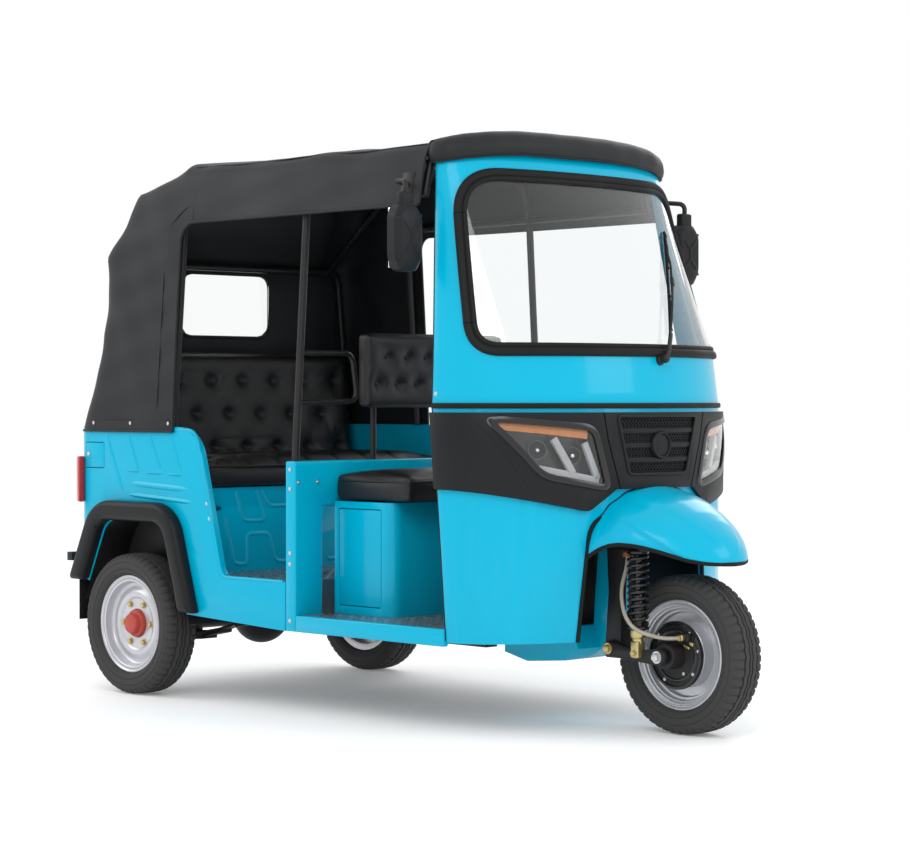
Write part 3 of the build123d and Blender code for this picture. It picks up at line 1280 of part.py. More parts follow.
# Wiper, mirrors, bumper and tail lamps
WIPER_ARM = ((20, COWL_Z - 30), (40, COWL_Z - 30), (232, COWL_Z + 235), (216, COWL_Z + 243))
WIPER_BLADE = ((118, COWL_Z + 63), (128, COWL_Z + 57), (336, COWL_Z + 395), (326, COWL_Z + 401))
SCREEN_LONG = (between(COWL, HEADER, COWL_Z - 90), between(COWL, HEADER, HEADER_Z))
WIPER_ARM_LOW = 22.0
WIPER_ARM_HIGH = 30.0
BLADE_LOW = 0.6
BLADE_HIGH = WIPER_ARM_LOW + 1
SPINDLE_TOP = 34.0
SPINDLE_Y = 30.0
SPINDLE_Z = COWL_Z - 24
WIPER_PIN_R = 11.0


def screen_strip(points, corner, low, high):
    """A strip that follows the windscreen, between two heights over it."""
    with BuildPart() as strip:
        add(cab_loft(SCREEN_LONG, high))
        add(cab_loft(SCREEN_LONG, low, SPARE), mode=Mode.SUBTRACT)
        add(front_outline(points, corner), mode=Mode.INTERSECT)
    return strip.part


def wiper_spindle():
    """The wiper's round spindle, standing on the cowl."""
    with BuildPart() as spindle:
        with Locations(Location((front_x(150), SPINDLE_Y, SPINDLE_Z), (0, 90, 0))):
            Cylinder(WIPER_PIN_R, 300)
        add(cab_loft(UPPER_ROWS, SPINDLE_TOP), mode=Mode.INTERSECT)
        add(cab_loft(UPPER_ROWS, SEAT_GAP, SPARE), mode=Mode.SUBTRACT)
    return spindle.part


with BuildPart() as wiper:
    add(screen_strip(WIPER_ARM, 3, WIPER_ARM_LOW, WIPER_ARM_HIGH))
    add(screen_strip(WIPER_BLADE, 2, BLADE_LOW, BLADE_HIGH))
    add(wiper_spindle())
save(wiper.part, "wiper")

MIRROR_BACK = 570.0
MIRROR_Y = ROOF_HALF + 150
MIRROR_Z = EAVE_Z - 110
MIRROR_W = 112.0
MIRROR_H = 205.0
MIRROR_D = 52.0
BRACKET_X = CANOPY_FRONT_X - 60
BRACKET_T = 8.0
ARM_Z = EAVE_Z + 62
ARM_R = 8.0
with BuildPart() as mirror_shells:
    with Locations((front_x(MIRROR_BACK), -MIRROR_Y, MIRROR_Z)):
        Box(MIRROR_D, MIRROR_W, MIRROR_H)
    fillet(mirror_shells.edges().filter_by(Axis.X), 28)
    fillet(mirror_shells.edges().group_by(Axis.X)[-1], 14)
    mirror(about=Plane.XZ)
save(mirror_shells.part, "mirror_shells")

with BuildPart() as mirror_arms:
    add(canopy_form(-BRACKET_T, 0))
    add(canopy_form(-SEAT_GAP, 40), mode=Mode.SUBTRACT)
    add(block(BRACKET_X - 26, BRACKET_X + 26, -BODY_HALF - 99, 0, ARM_Z - 40, ARM_Z + 40), mode=Mode.INTERSECT)
    add(tube((
        (BRACKET_X, -ROOF_HALF - 34, ARM_Z),
        (BRACKET_X, -ROOF_HALF - 90, ARM_Z + 10),
        (front_x(MIRROR_BACK), -MIRROR_Y, ARM_Z),
        (front_x(MIRROR_BACK), -MIRROR_Y, MIRROR_Z + MIRROR_H / 2 + SEAT_GAP),
    ), ARM_R, 20))
    add(canopy_form(-SEAT_GAP, 40), mode=Mode.SUBTRACT)
    mirror(about=Plane.XZ)
save(mirror_arms.part, "mirror_arms")

BUMPER_Z = 461.0
BUMPER_H = 30.0
BUMPER_D = 28.0
PLATE_HOLE_R = 4.0
TOW_R = 9.0
BUMPER_X = -LENGTH / 2
with BuildPart() as rear_bumper:
    add(block(BUMPER_X, BUMPER_X + BUMPER_D, -BODY_HALF + 3, BODY_HALF - 3,
              BUMPER_Z - BUMPER_H / 2, BUMPER_Z + BUMPER_H / 2))
    for side in (-1, 1):
        add(block(BUMPER_X + BUMPER_D, TAIL_X - SEAT_GAP, side * 300 - 25, side * 300 + 25,
                  BUMPER_Z - BUMPER_H / 2, BUMPER_Z + BUMPER_H / 2))
    with Locations(*(Location((BUMPER_X, y, BUMPER_Z), (0, 90, 0)) for y in (-75, 75))):
        Cylinder(PLATE_HOLE_R, 200, mode=Mode.SUBTRACT)
    with Locations((BUMPER_X + BUMPER_D / 2, 0, BUMPER_Z)):
        Cylinder(TOW_R, 200, mode=Mode.SUBTRACT)
save(rear_bumper.part, "rear_bumper")

TAIL_LAMP_FOOT_Z = 657.0
TAIL_LAMP_TOP_Z = 819.0
with BuildPart() as tail_lamps:
    add(body_plan(-26, TAIL_LAMP_FOOT_Z, TAIL_LAMP_TOP_Z))
    add(body_plan(-SEAT_GAP, TAIL_LAMP_FOOT_Z, TAIL_LAMP_TOP_Z), mode=Mode.SUBTRACT)
    add(block(TAIL_X - 99, rear_x(FLAP_AHEAD - 6), -BODY_HALF - 99, -BODY_HALF + 110,
              TAIL_LAMP_FOOT_Z, TAIL_LAMP_TOP_Z), mode=Mode.INTERSECT)
    mirror(about=Plane.XZ)
save(tail_lamps.part, "tail_lamps")
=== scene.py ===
"""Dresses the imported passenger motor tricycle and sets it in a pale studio.

All sizes are in metres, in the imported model's own frame: +X forward, +Y to the
vehicle's left, +Z up, with the origin on the ground under the middle of the vehicle.
"""

import json
import logging
import math
from collections.abc import Callable, Iterator, Sequence
from contextlib import contextmanager
from dataclasses import dataclass, field
from enum import Enum

import bmesh
import bpy
from mathutils import Matrix, Vector


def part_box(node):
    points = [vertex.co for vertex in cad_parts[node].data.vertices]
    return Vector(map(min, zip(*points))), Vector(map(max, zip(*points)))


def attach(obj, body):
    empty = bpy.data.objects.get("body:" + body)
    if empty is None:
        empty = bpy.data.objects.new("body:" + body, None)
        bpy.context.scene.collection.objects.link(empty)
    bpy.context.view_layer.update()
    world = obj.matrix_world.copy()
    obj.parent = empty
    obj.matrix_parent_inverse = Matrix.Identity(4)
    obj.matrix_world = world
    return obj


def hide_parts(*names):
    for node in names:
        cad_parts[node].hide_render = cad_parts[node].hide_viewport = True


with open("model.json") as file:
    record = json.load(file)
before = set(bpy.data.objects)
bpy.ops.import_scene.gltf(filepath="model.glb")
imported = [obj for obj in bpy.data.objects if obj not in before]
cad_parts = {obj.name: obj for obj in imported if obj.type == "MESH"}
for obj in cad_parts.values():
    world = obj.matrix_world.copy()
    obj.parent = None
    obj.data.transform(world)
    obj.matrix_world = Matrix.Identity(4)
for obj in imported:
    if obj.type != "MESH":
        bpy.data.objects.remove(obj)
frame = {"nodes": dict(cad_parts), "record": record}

Point = tuple[float, float, float]
Color = tuple[float, float, float]

LOG = logging.getLogger("tricycle")
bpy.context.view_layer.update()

# Places shared by several pieces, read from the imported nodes
TYRE_LOW, TYRE_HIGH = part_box("front_tyre")
REAR_LOW, REAR_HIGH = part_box("rear_tyre_left")
TYRE_R = (TYRE_HIGH[2] - TYRE_LOW[2]) / 2
FRONT_AXLE = Vector(((TYRE_LOW[0] + TYRE_HIGH[0]) / 2, 0.0, TYRE_R))
REAR_AXLE_X = (REAR_LOW[0] + REAR_HIGH[0]) / 2
WHEEL_Y = (REAR_LOW[1] + REAR_HIGH[1]) / 2
BODY_HALF = WHEEL_Y + 0.048

# A limit outside the model, for steps that a piece leaves out
FAR = 9.0


class Body(str, Enum):
    """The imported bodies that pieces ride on."""

    CHASSIS = "chassis"
    STEERING = "steering"
    FRONT_WHEEL = "front_wheel"
    REAR_RIGHT = "rear_wheel_right"
    REAR_LEFT = "rear_wheel_left"
    FUEL_FLAP = "fuel_flap"
    SEAT_DOOR = "seat_box_door"


# Workbench: small steps that every sub-assembly uses


def clear_selection() -> None:
    """Leaves edit mode and deselects every object."""
    if bpy.context.object and bpy.context.object.mode != "OBJECT":
        bpy.ops.object.mode_set(mode="OBJECT")
    bpy.ops.object.select_all(action="DESELECT")


def focus(piece: bpy.types.Object) -> None:
    """Makes one object the only selected and active one.

    Args:
        piece: The object to work on.
    """
    clear_selection()
    piece.select_set(True)
    bpy.context.view_layer.objects.active = piece


@contextmanager
def editing(piece: bpy.types.Object, mode: str = "FACE") -> Iterator[None]:
    """Opens edit mode on one object and closes it again.

    Args:
        piece: The object to edit.
        mode: The selection mode: VERT, EDGE or FACE.
    """
    focus(piece)
    bpy.ops.object.mode_set(mode="EDIT")
    bpy.ops.mesh.select_mode(type=mode)
    yield
    bpy.ops.object.mode_set(mode="OBJECT")


def pick_faces(piece: bpy.types.Object, test: Callable[[bmesh.types.BMFace], bool]) -> None:
    """Selects the faces of the object in edit mode that pass a test.

    Args:
        piece: The object in edit mode.
        test: Says whether a face is picked.
    """
    mesh = bmesh.from_edit_mesh(piece.data)
    for face in mesh.faces:
        face.select_set(False)
    for face in [face for face in mesh.faces if test(face)]:
        face.select_set(True)
    mesh.select_flush_mode()
    bmesh.update_edit_mesh(piece.data)


def face_out(merge: float = 0.0) -> None:
    """Turns the faces of the mesh in edit mode outward.

    Args:
        merge: Corners nearer than this become one first.
    """
    bpy.ops.mesh.select_all(action="SELECT")
    if merge:
        bpy.ops.mesh.remove_doubles(threshold=merge)
    bpy.ops.mesh.normals_make_consistent(inside=False)


def fill_open() -> None:
    """Closes the open ends of the mesh in edit mode."""
    bpy.ops.mesh.select_all(action="DESELECT")
    bpy.ops.mesh.select_non_manifold()
    bpy.ops.mesh.fill()


def flip(piece: bpy.types.Object) -> None:
    """Turns all the faces of a piece over.

    Args:
        piece: The piece.
    """
    with editing(piece):
        bpy.ops.mesh.select_all(action="SELECT")
        bpy.ops.mesh.flip_normals()


def settle(piece: bpy.types.Object) -> bpy.types.Object:
    """Moves an object's place, turn and scale into its mesh.

    Args:
        piece: The object to settle at the origin.

    Returns:
        The same object.
    """
    focus(piece)
    bpy.ops.object.transform_apply(location=True, rotation=True, scale=True)
    return piece


def modify(piece: bpy.types.Object, kind: str, **settings: object) -> None:
    """Adds one modifier with its settings and applies it.

    Args:
        piece: The object to change.
        kind: The modifier's type, such as BEVEL.
        settings: The modifier's own values.
    """
    focus(piece)
    step = piece.modifiers.new(kind.title(), kind)
    for name, value in settings.items():
        setattr(step, name, value)
    bpy.ops.object.modifier_apply(modifier=step.name)


def ease(piece: bpy.types.Object, width: float, segments: int = 3, angle: float = 50.0) -> None:
    """Rounds the sharp edges of a piece.

    Args:
        piece: The piece.
        width: The width of the bevel.
        segments: The bevel's steps.
        angle: Edges sharper than this many degrees are rounded.
    """
    modify(piece, "BEVEL", width=width, segments=segments, limit_method="ANGLE",
           angle_limit=math.radians(angle))


def placed(name: str, data: bpy.types.ID) -> bpy.types.Object:
    """A new object in the scene.

    Args:
        name: The object's name.
        data: Its mesh, curve, lamp or camera.

    Returns:
        The object.
    """
    piece = bpy.data.objects.new(name, data)
    bpy.context.scene.collection.objects.link(piece)
    return piece


def standing(at: Point, out: Point, axes: str = "ZY") -> Matrix:
    """The move that stands a piece on a point along a direction.

    Args:
        at: The point.
        out: The direction.
        axes: The piece's axis that takes the direction, and the one that stays up.

    Returns:
        The move.
    """
    return Matrix.Translation(at) @ Vector(out).to_track_quat(*axes).to_matrix().to_4x4()


def join(name: str, pieces: Sequence[bpy.types.Object]) -> bpy.types.Object:
    """Joins several mesh objects into one.

    Args:
        name: The joined object's name.
        pieces: The objects to join, the first of which stays.

    Returns:
        The joined object.
    """
    clear_selection()
    for piece in pieces:
        piece.select_set(True)
    bpy.context.view_layer.objects.active = pieces[0]
    if len(pieces) > 1:
        bpy.ops.object.join()
    pieces[0].name = name
    return pieces[0]


def copy_of(piece: bpy.types.Object, name: str, move: Matrix) -> bpy.types.Object:
    """Copies an object with a mesh of its own and moves the copy's mesh.

    Args:
        piece: The object to copy.
        name: The copy's name.
        move: The matrix applied to the copy's mesh.

    Returns:
        The copy.
    """
    twin = piece.copy()
    twin.data = piece.data.copy()
    twin.name = name
    bpy.context.scene.collection.objects.link(twin)
    twin.data.transform(move)
    if move.determinant() < 0:
        flip(twin)
    return twin


def drum(name: str, radius: float, depth: float, at: Point, sides: int,
         soft: float = 0.0) -> bpy.types.Object:
    """A short upright bar with softened rims.

    Args:
        name: The object's name.
        radius: Its radius.
        depth: Its length along Z.
        at: Its centre.
        sides: The number of sides.
        soft: The width of the rim bevel.

    Returns:
        The settled object.
    """
    clear_selection()
    bpy.ops.mesh.primitive_cylinder_add(vertices=sides, radius=radius, depth=depth, location=at)
    piece = bpy.context.object
    piece.name = name
    settle(piece)
    if soft:
        ease(piece, soft)
    return piece


def brick(name: str, size: Point, at: Point, soft: float = 0.0,
          turn: Point = (0, 0, 0)) -> bpy.types.Object:
    """A box with softened edges.

    Args:
        name: The object's name.
        size: Its lengths along X, Y and Z.
        at: Its centre.
        soft: The width of the edge bevel.
        turn: Its rotation in radians.

    Returns:
        The settled object.
    """
    clear_selection()
    bpy.ops.mesh.primitive_cube_add(size=1, location=at, rotation=turn)
    piece = bpy.context.object
    piece.name = name
    piece.scale = size
    settle(piece)
    if soft:
        ease(piece, soft)
    return piece


def tube(name: str, route: Sequence[Point], radius: float, closed: bool = False, sides: int = 4,
         smooth: bool = False) -> bpy.types.Object:
    """A round strip along a route of points.

    Args:
        name: The object's name.
        route: The points that it follows.
        radius: Its radius.
        closed: Whether the route returns to its start.
        sides: The bevel resolution of its section.
        smooth: Whether the route is a smooth spline.

    Returns:
        The strip as a mesh.
    """
    curve = bpy.data.curves.new(name, "CURVE")
    curve.dimensions = "3D"
    curve.bevel_depth = radius
    curve.bevel_resolution = sides
    curve.use_fill_caps = True
    line = curve.splines.new("NURBS" if smooth else "POLY")
    line.points.add(len(route) - 1)
    for point, place in zip(line.points, route):
        point.co = (*place, 1.0)
    if smooth:
        line.order_u = 3
        line.use_endpoint_u = not closed
        line.resolution_u = 8
    line.use_cyclic_u = closed
    focus(placed(name, curve))
    bpy.ops.object.convert(target="MESH")
    return bpy.context.object


def turned(name: str, section: Sequence[tuple[float, float]], centre: Point, steps: int = 72,
           closed: bool = False) -> bpy.types.Object:
    """A piece turned about the Y axis from its section.

    Args:
        name: The object's name.
        section: Points of the section as (radius, outward along Y).
        centre: The middle of the turning axis.
        steps: The number of steps round.
        closed: Whether the section's ends are joined.

    Returns:
        The turned mesh.
    """
    clear_selection()
    bpy.ops.mesh.primitive_plane_add(size=0.01)
    piece = bpy.context.object
    piece.name = name
    mesh = bmesh.new()
    x, y, z = centre
    places = [mesh.verts.new((x, y + out, z + radius)) for radius, out in section]
    for first, second in zip(places, places[1:]):
        mesh.edges.new((first, second))
    if closed:
        mesh.edges.new((places[-1], places[0]))
    mesh.to_mesh(piece.data)
    mesh.free()
    with editing(piece, "VERT"):
        bpy.ops.mesh.select_all(action="SELECT")
        bpy.ops.mesh.spin(steps=steps, angle=2 * math.pi, center=centre, axis=(0, 1, 0))
        face_out(0.00005)
    return piece


def dress(piece: bpy.types.Object, finish: "Finish | ClearFinish", body: Body,
          smooth: float = 35.0) -> None:
    """Gives a finished piece its material, shading and body.

    Args:
        piece: The finished piece.
        finish: Its finish.
        body: The body that it rides on.
        smooth: The angle in degrees up to which edges are shaded smooth.
    """
    settle(piece)
    piece.data.materials.clear()
    piece.data.materials.append(finish.material())
    bpy.ops.object.shade_smooth_by_angle(angle=math.radians(smooth))
    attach(piece, body.value)
    LOG.info("%s: %d faces on %s", piece.name, len(piece.data.polygons), body.value)


# Finishes


class Relief(Enum):
    """The small relief of a surface."""

    SMOOTH = "smooth"
    PEEL = "peel"
    GRAIN = "grain"
    HIDE = "hide"
    CLOTH = "cloth"


def set_inputs(node: bpy.types.Node, values: dict[str, object]) -> None:
    """Gives a node's inputs their values.

    Args:
        node: The node.
        values: The values by the inputs' names.
    """
    for name, value in values.items():
        node.inputs[name].default_value = value


def relief_group(kind: Relief) -> bpy.types.NodeTree:
    """The shader group that gives one relief's height and a mottled mask.

    Args:
        kind: The relief.

    Returns:
        A group with inputs Scale and Mottle Scale, and outputs Height and Mask.
    """
    name = f"relief_{kind.value}"
    if name in bpy.data.node_groups:
        return bpy.data.node_groups[name]
    group = bpy.data.node_groups.new(name, "ShaderNodeTree")
    for label, default in (("Scale", 400.0), ("Mottle Scale", 3.0)):
        socket = group.interface.new_socket(label, in_out="INPUT", socket_type="NodeSocketFloat")
        socket.default_value = default
    group.interface.new_socket("Height", in_out="OUTPUT", socket_type="NodeSocketFloat")
    group.interface.new_socket("Mask", in_out="OUTPUT", socket_type="NodeSocketFloat")
    nodes, links = group.nodes, group.links
    entry = nodes.new("NodeGroupInput")
    leave = nodes.new("NodeGroupOutput")
    place = nodes.new("ShaderNodeTexCoord")
    mottle = nodes.new("ShaderNodeTexNoise")
    mottle.inputs["Detail"].default_value = 5.0
    links.new(place.outputs["Object"], mottle.inputs["Vector"])
    links.new(entry.outputs["Mottle Scale"], mottle.inputs["Scale"])
    links.new(mottle.outputs["Fac"], leave.inputs["Mask"])
    if kind is Relief.HIDE:
        cells = nodes.new("ShaderNodeTexVoronoi")
        cells.feature = "DISTANCE_TO_EDGE"
        links.new(place.outputs["Object"], cells.inputs["Vector"])
        links.new(entry.outputs["Scale"], cells.inputs["Scale"])
        ramp = nodes.new("ShaderNodeMapRange")
        ramp.inputs["From Max"].default_value = 0.25
        links.new(cells.outputs["Distance"], ramp.inputs["Value"])
        links.new(ramp.outputs["Result"], leave.inputs["Height"])
    elif kind is Relief.CLOTH:
        waves = []
        for axis in ("X", "Y", "Z"):
            wave = nodes.new("ShaderNodeTexWave")
            wave.bands_direction = axis
            links.new(place.outputs["Object"], wave.inputs["Vector"])
            links.new(entry.outputs["Scale"], wave.inputs["Scale"])
            waves.append(wave)
        total = waves[0].outputs["Fac"]
        for wave in waves[1:]:
            plus = nodes.new("ShaderNodeMath")
            plus.operation = "ADD"
            links.new(total, plus.inputs[0])
            links.new(wave.outputs["Fac"], plus.inputs[1])
            total = plus.outputs[0]
        links.new(total, leave.inputs["Height"])
    else:
        noise = nodes.new("ShaderNodeTexNoise")
        noise.inputs["Detail"].default_value = 2.0 if kind is Relief.PEEL else 6.0
        links.new(place.outputs["Object"], noise.inputs["Vector"])
        links.new(entry.outputs["Scale"], noise.inputs["Scale"])
        links.new(noise.outputs["Fac"], leave.inputs["Height"])
    return group


def mottled(name: str, kind: Relief, scales: tuple[float, float],
            colors: tuple[Color, Color]) -> tuple[bpy.types.Material, bpy.types.Node, bpy.types.Node]:
    """A new material whose base colour wanders between two colours.

    Args:
        name: The material's name.
        kind: Its small relief.
        scales: The scale of the relief and that of the mottling.
        colors: The two colours.

    Returns:
        The material, its relief node and its colour node.
    """
    material = bpy.data.materials.new(name)
    material.use_nodes = True
    nodes, links = material.node_tree.nodes, material.node_tree.links
    relief = nodes.new("ShaderNodeGroup")
    relief.node_tree = relief_group(kind)
    set_inputs(relief, {"Scale": scales[0], "Mottle Scale": scales[1]})
    tint = nodes.new("ShaderNodeMix")
    tint.data_type = "RGBA"
    set_inputs(tint, {"A": (*colors[0], 1.0), "B": (*colors[1], 1.0)})
    links.new(relief.outputs["Mask"], tint.inputs["Factor"])
    links.new(tint.outputs["Result"], nodes["Principled BSDF"].inputs["Base Color"])
    return material, relief, tint


@dataclass(frozen=True)
class Finish:
    """A solid finish: its two colours, gloss and small relief."""

    name: str
    color: Color
    worn: Color
    roughness: tuple[float, float]
    metallic: float = 0.0
    coat: float = 0.0
    specular: float = 0.5
    sheen: float = 0.0
    relief: Relief = Relief.SMOOTH
    scale: float = 400.0
    depth: float = 0.0
    mottle: float = 3.0
    glow: float = 0.0

    def material(self) -> bpy.types.Material:
        """The finish as a material, made once.

        Returns:
            The material.
        """
        if self.name in bpy.data.materials:
            return bpy.data.materials[self.name]
        material, relief, tint = mottled(self.name, self.relief, (self.scale, self.mottle),
                                         (self.color, self.worn))
        material.diffuse_color = (*self.color, 1.0)
        nodes, links = material.node_tree.nodes, material.node_tree.links
        shader = nodes["Principled BSDF"]
        set_inputs(shader, {"Metallic": self.metallic, "Coat Weight": self.coat, "Coat Roughness": 0.04,
                            "Specular IOR Level": self.specular, "Sheen Weight": self.sheen})
        gloss = nodes.new("ShaderNodeMapRange")
        set_inputs(gloss, {"From Min": 0.3, "From Max": 0.7, "To Min": self.roughness[0],
                           "To Max": self.roughness[1]})
        links.new(relief.outputs["Mask"], gloss.inputs["Value"])
        links.new(gloss.outputs["Result"], shader.inputs["Roughness"])
        if self.depth:
            bump = nodes.new("ShaderNodeBump")
            set_inputs(bump, {"Strength": 0.6, "Distance": self.depth})
            links.new(relief.outputs["Height"], bump.inputs["Height"])
            links.new(bump.outputs["Normal"], shader.inputs["Normal"])
        if self.glow:
            links.new(tint.outputs["Result"], shader.inputs["Emission Color"])
            shader.inputs["Emission Strength"].default_value = self.glow
        return material


@dataclass(frozen=True)
class ClearFinish:
    """A see-through finish: glass or clear plastic."""

    name: str
    color: Color
    roughness: float = 0.0
    ior: float = 1.45

    def material(self) -> bpy.types.Material:
        """The finish as a material, made once.

        Returns:
            The material.
        """
        if self.name in bpy.data.materials:
            return bpy.data.materials[self.name]
        shade = tuple(0.97 * part for part in self.color)
        material, _, _ = mottled(self.name, Relief.SMOOTH, (400.0, 2.0), (self.color, shade))
        set_inputs(material.node_tree.nodes["Principled BSDF"],
                   {"Transmission Weight": 1.0, "IOR": self.ior, "Roughness": self.roughness})
        return material


PAINT = Finish("turquoise_paint", (0.0, 0.385, 0.565), (0.0, 0.380, 0.590), (0.18, 0.25), coat=0.16,
               specular=0.14, relief=Relief.PEEL, scale=260.0, depth=0.00012, mottle=1.6)
BLACK_PAINT = Finish("satin_black_paint", (0.009, 0.009, 0.010), (0.015, 0.015, 0.016), (0.34, 0.5),
                     specular=0.28, relief=Relief.PEEL, scale=500.0, depth=0.0002, mottle=6.0)
GLOSS_BLACK = Finish("gloss_black_paint", (0.006, 0.006, 0.007), (0.010, 0.010, 0.011), (0.14, 0.24),
                     specular=0.5, relief=Relief.PEEL, scale=400.0, depth=0.0001, mottle=8.0)
GAP_BLACK = Finish("shut_line_black", (0.002, 0.002, 0.002), (0.003, 0.003, 0.003), (0.8, 0.9),
                   specular=0.05, mottle=10.0)
CANVAS = Finish("black_canvas", (0.013, 0.014, 0.016), (0.015, 0.016, 0.018), (0.48, 0.6), specular=0.20,
                sheen=0.02, relief=Relief.GRAIN, scale=620.0, depth=0.0005, mottle=2.4)
HIDE = Finish("black_hide", (0.007, 0.007, 0.008), (0.012, 0.012, 0.013), (0.26, 0.4), specular=0.32,
              relief=Relief.HIDE, scale=330.0, depth=0.0004, mottle=5.0)
PLASTIC = Finish("grained_plastic", (0.008, 0.0085, 0.0095), (0.011, 0.012, 0.013), (0.36, 0.5),
                 specular=0.18, relief=Relief.GRAIN, scale=900.0, depth=0.00025, mottle=4.0)
RUBBER = Finish("black_rubber", (0.006, 0.006, 0.006), (0.010, 0.010, 0.010), (0.5, 0.68), specular=0.16,
                relief=Relief.GRAIN, scale=500.0, depth=0.0002, mottle=8.0)
RUST_RUBBER = Finish("rust_rubber", (0.30, 0.10, 0.03), (0.22, 0.07, 0.02), (0.5, 0.65), specular=0.3,
                     relief=Relief.GRAIN, scale=600.0, depth=0.0002, mottle=40.0)
TYRE = Finish("tyre_rubber", (0.005, 0.005, 0.0055), (0.010, 0.010, 0.011), (0.55, 0.75), specular=0.12,
              relief=Relief.GRAIN, scale=420.0, depth=0.0003, mottle=9.0)
SILVER = Finish("silver_rim_paint", (0.56, 0.57, 0.6), (0.48, 0.49, 0.52), (0.26, 0.38), metallic=0.55,
                relief=Relief.PEEL, scale=700.0, depth=0.0001, mottle=7.0)
RED_PAINT = Finish("red_hub_paint", (0.42, 0.045, 0.025), (0.34, 0.035, 0.02), (0.34, 0.5),
                   relief=Relief.PEEL, scale=300.0, depth=0.0003, mottle=14.0)
ZINC = Finish("bright_zinc", (0.62, 0.63, 0.65), (0.5, 0.51, 0.53), (0.22, 0.36), metallic=1.0,
              relief=Relief.PEEL, scale=900.0, depth=0.0001, mottle=40.0)
YELLOW_ZINC = Finish("yellow_zinc", (0.55, 0.42, 0.16), (0.5, 0.46, 0.26), (0.28, 0.42), metallic=0.9,
                     relief=Relief.PEEL, scale=900.0, depth=0.0001, mottle=30.0)
CHROME = Finish("polished_chrome", (0.8, 0.81, 0.83), (0.74, 0.75, 0.77), (0.06, 0.12), metallic=1.0,
                mottle=12.0)
CHEQUER = Finish("chequer_plate", (0.26, 0.27, 0.29), (0.19, 0.20, 0.22), (0.3, 0.48), metallic=0.8,
                 relief=Relief.GRAIN, scale=300.0, depth=0.0003, mottle=9.0)
ALLOY = Finish("cast_alloy", (0.36, 0.36, 0.37), (0.28, 0.28, 0.29), (0.42, 0.6), metallic=0.8,
               relief=Relief.GRAIN, scale=260.0, depth=0.0005, mottle=10.0)
BOWL = Finish("dark_lamp_bowl", (0.03, 0.031, 0.034), (0.045, 0.046, 0.05), (0.12, 0.22), metallic=0.3,
              mottle=10.0)
LIGHT_BAR = Finish("frosted_light_bar", (0.60, 0.61, 0.63), (0.42, 0.43, 0.45), (0.25, 0.4),
                   relief=Relief.GRAIN, scale=500.0, depth=0.0006, mottle=60.0, glow=0.05)
AMBER = Finish("amber_lamp", (0.8, 0.27, 0.03), (0.7, 0.2, 0.02), (0.2, 0.32), coat=0.5,
               relief=Relief.CLOTH, scale=60.0, depth=0.0004, mottle=20.0)
RED_LAMP = Finish("red_lamp", (0.45, 0.012, 0.012), (0.36, 0.008, 0.008), (0.1, 0.18), coat=0.6,
                  relief=Relief.CLOTH, scale=50.0, depth=0.0003, mottle=10.0)
BRAID = Finish("braided_hose", (0.42, 0.38, 0.28), (0.5, 0.48, 0.42), (0.34, 0.5), metallic=0.5,
               relief=Relief.CLOTH, scale=260.0, depth=0.0008, mottle=60.0)
DARK_CHROME = Finish("dark_chrome", (0.16, 0.165, 0.175), (0.12, 0.125, 0.135), (0.08, 0.16), metallic=1.0,
                     mottle=12.0)
# Grey of the thin line round the lamp bezels: a painted highlight of their outer edge
PAINTED_HIGHLIGHT_GREY = Finish("painted_highlight_grey_line", (0.10, 0.10, 0.108), (0.075, 0.076, 0.082), (0.25, 0.38),
                    specular=0.5, relief=Relief.PEEL, scale=600.0, depth=0.0001, mottle=12.0)
STUD = Finish("bright_studs", (0.62, 0.63, 0.65), (0.5, 0.51, 0.53), (0.22, 0.36), metallic=0.9,
              mottle=20.0)
MIRROR = Finish("mirror_glass", (0.86, 0.87, 0.88), (0.84, 0.85, 0.86), (0.01, 0.02), metallic=1.0)
GLASS = ClearFinish("windscreen_glass", (0.93, 0.96, 0.96))
LENS = ClearFinish("clear_lens", (0.97, 0.98, 0.98))
SOFT_WINDOW = ClearFinish("soft_clear_window", (0.96, 0.97, 0.97), roughness=0.03, ior=1.3)
FLOOR = Finish("studio_floor", (0.93, 0.93, 0.93), (0.92, 0.92, 0.92), (0.6, 0.7), mottle=0.5, glow=0.14)


# Shapes of the body that several pieces follow


@dataclass(frozen=True)
class CabLevel:
    """One level of the cab shell: half an ellipse in plan."""

    z: float
    edge: float
    half: float
    reach: float


FRONT_X = FRONT_AXLE.x
SKIRT = CabLevel(0.285, FRONT_X - 0.460, 0.585, 0.300)
BELT = CabLevel(1.000, FRONT_X - 0.513, 0.593, 0.378)
COWL = CabLevel(1.165, FRONT_X - 0.520, 0.580, 0.362)
HEADER = CabLevel(1.765, FRONT_X - 0.593, 0.500, 0.138)
CAB_RUN = 0.010


def cab_level(z: float) -> CabLevel:
    """The cab's plan at a height, between its main levels.

    Args:
        z: The height.

    Returns:
        The level at that height.
    """
    for low, high in ((SKIRT, BELT), (BELT, COWL), (COWL, HEADER)):
        if z <= high.z:
            break
    share = (z - low.z) / (high.z - low.z)
    return CabLevel(z, low.edge + share * (high.edge - low.edge),
                    low.half + share * (high.half - low.half),
                    low.reach + share * (high.reach - low.reach))


def cab_point(y: float, z: float, proud: float = 0.0) -> Point:
    """The point of the cab's outer skin at a width and a height.

    Args:
        y: The width, measured from the middle.
        z: The height.
        proud: How far outside the skin.

    Returns:
        The point.
    """
    level = cab_level(z)
    half = level.half + proud
    share = max(0.0, 1.0 - (y / half) ** 2)
    return (level.edge + CAB_RUN + (level.reach + proud) * math.sqrt(share), y, z)


